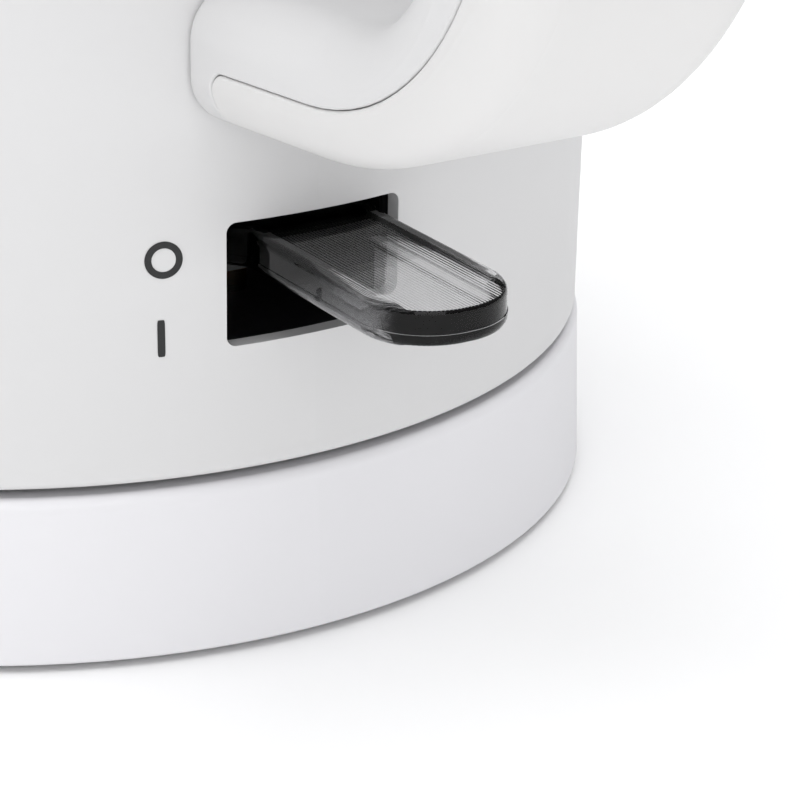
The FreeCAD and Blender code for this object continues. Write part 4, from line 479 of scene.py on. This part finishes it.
wear(metal("turned_steel", (0.62, 0.62, 0.63, 1.0), (0.5, 0.49, 0.47, 1.0), 0.28, turned=1.0),
     "heating_plate", "clamp_ring")
drawn_steel = metal("drawn_steel", (0.58, 0.58, 0.6, 1.0), (0.42, 0.42, 0.42, 1.0), 0.25, across=6000.0)
wear(drawn_steel, "hinge_pin", "switch_pin", "filter_mesh", "base_screws", "bottom_screws", "switch_spring")
wear(metal("cast_aluminium", (0.72, 0.72, 0.74, 1.0), (0.5, 0.5, 0.5, 1.0), 0.42, across=900.0),
     "heat_spreader", "heating_element")
wear(metal("rolled_bimetal", (0.58, 0.52, 0.44, 1.0), (0.4, 0.34, 0.3, 1.0), 0.3), "cutout_bimetals",
     "steam_bimetal")
wear(metal("contact_brass", (0.78, 0.6, 0.28, 1.0), (0.45, 0.3, 0.14, 1.0), 0.27, turned=1.0),
     "socket_contacts", "connector_contacts")

# %% [markdown]
# ## The floor's finish
# A studio floor is a wide sheet of pale paper. It is matt and almost without marks, so the same group
# as for the plastics serves, with hardly any clouds. Its tone is near white, because the light that it
# throws back is what fills the kettle's lower walls.

# %% Pale paper
PALE_PAPER = (0.97, 0.97, 0.97, 1.0)
floor.data.materials.append(finish("pale_floor", moulded_skin, {
    "Tint": PALE_PAPER, "Clouding": 0.01, "Cloud Scale": 3.0, "Gloss": 0.7, "Gloss Spread": 0.05,
    "Grain Scale": 300.0, "Grain Share": 0.1}, bump=(0.02, 0.05 * MM)))
print("floor finish on")

# %% [markdown]
# ## Closed skins from rings
# Every new piece below is a profile carried along a path: a stack of rings with the same number of
# points. Joining ring to ring gives a tube, which closes into itself for a hoop or gets a small fan
# at each end. With numpy the faces come from index arithmetic, all at once.


# %% Skin over a stack of rings
def skin_rings(name, rings, looped):
    """rings[i, j] = point j of ring i; quads join neighbours, and a loop or two end fans close it."""
    count, around = rings.shape[:2]
    index = np.arange(count * around).reshape(count, around)
    after = np.roll(index, -1, axis=0) if looped else index[1:]
    before = index if looped else index[:-1]
    quads = np.stack([before, np.roll(before, -1, axis=1), np.roll(after, -1, axis=1), after], axis=-1)
    points, faces = rings.reshape(-1, 3), quads.reshape(-1, 4).tolist()
    if not looped:
        points = np.concatenate([points, rings[0].mean(0)[None], rings[-1].mean(0)[None]])
        start, end = count * around, count * around + 1
        low, high = index[0], index[-1]
        faces += np.stack([np.roll(low, -1), low, np.full(around, start)], axis=-1).tolist()
        faces += np.stack([high, np.roll(high, -1), np.full(around, end)], axis=-1).tolist()
    mesh = bpy.data.meshes.new(name)
    mesh.from_pydata(points.tolist(), [], faces)
    mesh.update()
    item = bpy.data.objects.new(name, mesh)
    scene.collection.objects.link(item)
    return item


print("skin_rings ready")

# %% [markdown]
# ## The jug's wall as a formula
# Print lies on the wall, so its place has to be known exactly. The jug is turned: a straight flare up
# to the shoulder, then one large arc to the rim that leaves the flare without a kink. That gives the
# radius at any height, and a flat drawing is wrapped on by reading sideways distance as an angle.

# %% Radius of the wall and wrapping
JUG_LOW, JUG_RADIUS, JUG_FLARE = 24.2 * MM, 76.2 * MM, 0.03
SHOULDER, RIM = np.array((78.3 * MM, 94.2 * MM)), np.array((65.0 * MM, 212.2 * MM))
INK_PROUD, INK_SUNK = 0.03 * MM, 0.03 * MM

inward = np.array((-1.0, JUG_FLARE)) / math.hypot(1.0, JUG_FLARE)
chord = RIM - SHOULDER
ARC = float(chord @ chord / (2.0 * chord @ inward))
ARC_MIDDLE = SHOULDER + ARC * inward


def wall_radius(z):
    """Below the shoulder: lower radius + flare times height. Above it: a circle about ARC_MIDDLE."""
    arc = ARC_MIDDLE[0] + np.sqrt(ARC**2 - (np.maximum(z, SHOULDER[1]) - ARC_MIDDLE[1]) ** 2)
    return np.where(z < SHOULDER[1], JUG_RADIUS + JUG_FLARE * (z - JUG_LOW), arc)


def on_wall(turn, sideways, z, proud):
    """The wall's point at angle turn + sideways / radius, lifted off it by proud."""
    radius = wall_radius(z)
    angle = turn + sideways / radius
    reach = radius + proud
    return np.stack([reach * np.cos(angle), reach * np.sin(angle), z + 0.0 * proud], axis=-1)


print("arc of the wall", round(ARC / MM, 1), "mm")

# %% [markdown]
# ## Fine skins on two roundings
# Jug and base meet at two small turned roundings, and the line between them is the sharpest thing in
# the picture. The solids carry few facets there, and each one shows as a nick. So each rounding gets a
# skin a fiftieth of a millimetre proud of it: the same little arc, turned in fine steps, whose ends
# dive into the wall. It could be bump, but a nick in an outline can only be cured by shape.

# %% Skins of the lower jug edge and the upper base edge
PROUD, SUNK, DEEP = 0.02 * MM, 0.1 * MM, 0.4 * MM
DECK_SHARE = 0.4


def round_skin(name, middle, radius, lean, end_up, run, around=480, steps=14):
    """Arc of a circle at (r, z) = middle, with tangent runs that sink at both ends, turned round z."""
    side = 1.0 if end_up else -1.0
    angle = np.linspace(lean, 0.5 * math.pi, steps)
    bow = np.stack([np.cos(angle), np.sin(angle)], axis=-1) * (radius + PROUD)
    along = np.array((math.sin(lean), -math.cos(lean)))
    into = np.array((-math.cos(lean), -math.sin(lean)))
    far = np.array((1.05, 1.0, 0.9, 0.6, 0.3))[:, None]
    sunk = np.array((DEEP, SUNK, 0.9 * SUNK, 0.6 * SUNK, 0.3 * SUNK))[:, None]
    wall = bow[0] + along * far * run + into * sunk
    deck = bow[-1] + np.concatenate([-DECK_SHARE * run * far, -sunk], axis=1)[::-1]
    profile = np.concatenate([wall, bow, deck]) * (1.0, side) + middle
    turn = np.linspace(0.0, 2.0 * math.pi, around, endpoint=False)[:, None]
    spread, height = profile[:, 0], profile[:, 1]
    rings = np.stack([spread * np.cos(turn), spread * np.sin(turn), height + 0.0 * turn], axis=-1)
    skin = skin_rings(name, rings[:, ::-int(side)], True)
    skin.data.polygons.foreach_set("use_smooth", np.ones(len(skin.data.polygons), dtype=bool))
    return skin


JUG_EDGE, JUG_EDGE_ROUND, JUG_EDGE_RUN = np.array((75.33, 25.1)) * MM, 0.9 * MM, 3.0 * MM
BASE_EDGE, BASE_EDGE_ROUND, BASE_EDGE_RUN = np.array((75.32, 21.7)) * MM, 1.3 * MM, 2.0 * MM
BASE_LEAN = math.radians(1.0)
jug_round = round_skin("jug_round", JUG_EDGE, JUG_EDGE_ROUND, math.atan(JUG_FLARE), False, JUG_EDGE_RUN)
base_round = round_skin("base_round", BASE_EDGE, BASE_EDGE_ROUND, BASE_LEAN, True, BASE_EDGE_RUN)
for skin, twin, body in ((jug_round, "jug_body", "jug"), (base_round, "base_cover", "power_base")):
    skin.data.materials.append(nodes[twin].material_slots[0].material)
    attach(skin, body)
print("skins", len(jug_round.data.polygons), "faces each")

# %% [markdown]
# ## Switch signs
# A ring for off and a stroke for on are printed in black to the left of the slot. Ink is a film, so
# each sign is a thin closed skin: its edge lies in the wall and its face just in front of it.


# %% Ring and stroke
def ring_sign(name, turn, middle, outside, stroke, points=96):
    """A flat hoop: at each angle the ink's section is a rectangle, stroke wide and as thick as the film."""
    angle = np.linspace(0.0, 2.0 * math.pi, points, endpoint=False)[:, None]
    reach = np.array([outside - stroke, outside, outside, outside - stroke])
    lift = np.array([-INK_SUNK, -INK_SUNK, INK_PROUD, INK_PROUD]) + 0.0 * angle
    return skin_rings(name, on_wall(turn, -reach * np.cos(angle), middle + reach * np.sin(angle), lift), True)


def bar_sign(name, turn, middle, height, width, points=24, softness=0.25):
    """A bar with soft corners: a superellipse as outline, laid under and over the film."""
    angle = np.linspace(0.0, 2.0 * math.pi, points, endpoint=False)
    side = 0.5 * width * np.sign(np.cos(angle)) * np.abs(np.cos(angle)) ** softness
    up = 0.5 * height * np.sign(np.sin(angle)) * np.abs(np.sin(angle)) ** softness
    layers = [on_wall(turn, side, middle + up, np.full(points, lift)) for lift in (-INK_SUNK, INK_PROUD)]
    return skin_rings(name, np.stack(layers), False)


def print_on_jug(piece, ink):
    """Gives a printed sign its ink and lets it ride on the jug."""
    piece.data.materials.append(ink)
    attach(piece, "jug")


black_ink = finish("black_ink", moulded_skin, {"Tint": (0.006, 0.006, 0.007, 1.0), "Clouding": 0.4,
                                               "Cloud Scale": 900.0, "Gloss": 0.45, "Gloss Spread": 0.2,
                                               "Grain Scale": 6000.0}, bump=(0.1, 0.01 * MM))
OFF_TURN, OFF_HEIGHT, OFF_REACH, OFF_STROKE = math.radians(-14.95), 53.0 * MM, 2.35 * MM, 0.85 * MM
ON_TURN, ON_HEIGHT, ON_LENGTH, ON_STROKE = math.radians(-15.3), 43.0 * MM, 4.75 * MM, 0.95 * MM
print_on_jug(ring_sign("sign_off", OFF_TURN, OFF_HEIGHT, OFF_REACH, OFF_STROKE), black_ink)
print_on_jug(bar_sign("sign_on", ON_TURN, ON_HEIGHT, ON_LENGTH, ON_STROKE), black_ink)
print("signs printed")

# %% [markdown]
# ## Level marks
# The windows carry plain strokes that show how much water there is. Guessing their heights would give
# a scale that lies, so the volume is added up from the floor of the jug: thin discs of the wall's inner
# radius, summed with numpy, tell at which height each quarter of a litre is reached.

# %% Strokes at real volumes
WATER_FLOOR, WALL = 62.8 * MM, 2.4 * MM
LITRES, LONG_MARKS = np.array([0.5, 0.75, 1.0, 1.25, 1.5, 1.7]), (0.5, 1.0, 1.5, 1.7)
LONG_MARK, SHORT_MARK, MARK_STROKE = 6.0 * MM, 3.6 * MM, 0.6 * MM

heights = np.linspace(WATER_FLOOR, RIM[1], 2000)
discs = math.pi * (wall_radius(heights) - WALL) ** 2 * (heights[1] - heights[0])
mark_heights = np.interp(LITRES / 1000.0, np.cumsum(discs), heights)
grey_ink = finish("grey_ink", moulded_skin, {"Tint": (0.05, 0.052, 0.055, 1.0), "Clouding": 0.3,
                                             "Cloud Scale": 900.0, "Gloss": 0.5, "Gloss Spread": 0.2,
                                             "Grain Scale": 6000.0}, bump=(0.1, 0.01 * MM))
for window, quarter_turn in (("right", 90.0), ("left", -90.0)):
    for litres, height in zip(LITRES, mark_heights):
        width = LONG_MARK if litres in LONG_MARKS else SHORT_MARK
        name = f"level_{window}_{round(litres * 100):03d}"
        print_on_jug(bar_sign(name, math.radians(quarter_turn), height, MARK_STROKE, width), grey_ink)
print("marks at", np.round(mark_heights / MM, 1), "mm")

# %% [markdown]
# ## Coil springs
# A spring is a round wire carried along a helix. The solids hold a coarse one with a six-sided wire.
# Here the wire is round: at each step the section is spanned by the direction away from the coil's
# axis and by the one across both. A pressed button makes its spring shorter; here the spring is drawn at one
# length, with a mesh of its own.


# %% Springs along a helix
def coil_spring(name, node, along, wire, turns, steps=48, sides=10):
    """Centre line: radius times (cos t, sin t) across the axis, and t / turns of the length along it."""
    low, high = (np.array(corner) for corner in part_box(node))
    axis = np.eye(3)[along]
    first, second = np.eye(3)[(along + 1) % 3], np.eye(3)[(along + 2) % 3]
    middle, size = 0.5 * (low + high), high - low
    radius = 0.5 * size[(along + 1) % 3] - wire
    length = size[along] - 2.0 * wire
    t = np.linspace(0.0, 2.0 * math.pi * turns, turns * steps + 1)[:, None]
    outward = np.cos(t) * first + np.sin(t) * second
    run = radius * (np.cos(t) * second - np.sin(t) * first) + length / (2.0 * math.pi * turns) * axis
    run = run / np.linalg.norm(run, axis=1, keepdims=True)
    line = middle + radius * outward + (t / t[-1] - 0.5) * length * axis
    turn = np.linspace(0.0, 2.0 * math.pi, sides, endpoint=False)[:, None]
    across = np.cross(run, outward)
    rings = line[:, None] + wire * (np.cos(turn) * outward[:, None] + np.sin(turn) * across[:, None])
    item = skin_rings(name, rings, False)
    item.data.polygons.foreach_set("use_smooth", np.ones(len(item.data.polygons), dtype=bool))
    item.data.materials.append(drawn_steel)
    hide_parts(node)
    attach(item, "jug")
    return item


SPRING_WIRE, SPRING_TURNS, BUTTON_STROKE = 0.35 * MM, 6, 3.0 * MM
coil_spring("lid_coil", "lid_spring", 1, SPRING_WIRE, SPRING_TURNS)
button_coil = coil_spring("button_coil", "button_spring", 2, SPRING_WIRE, SPRING_TURNS)
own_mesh(button_coil)
print("coils", len(button_coil.data.polygons), "faces each")
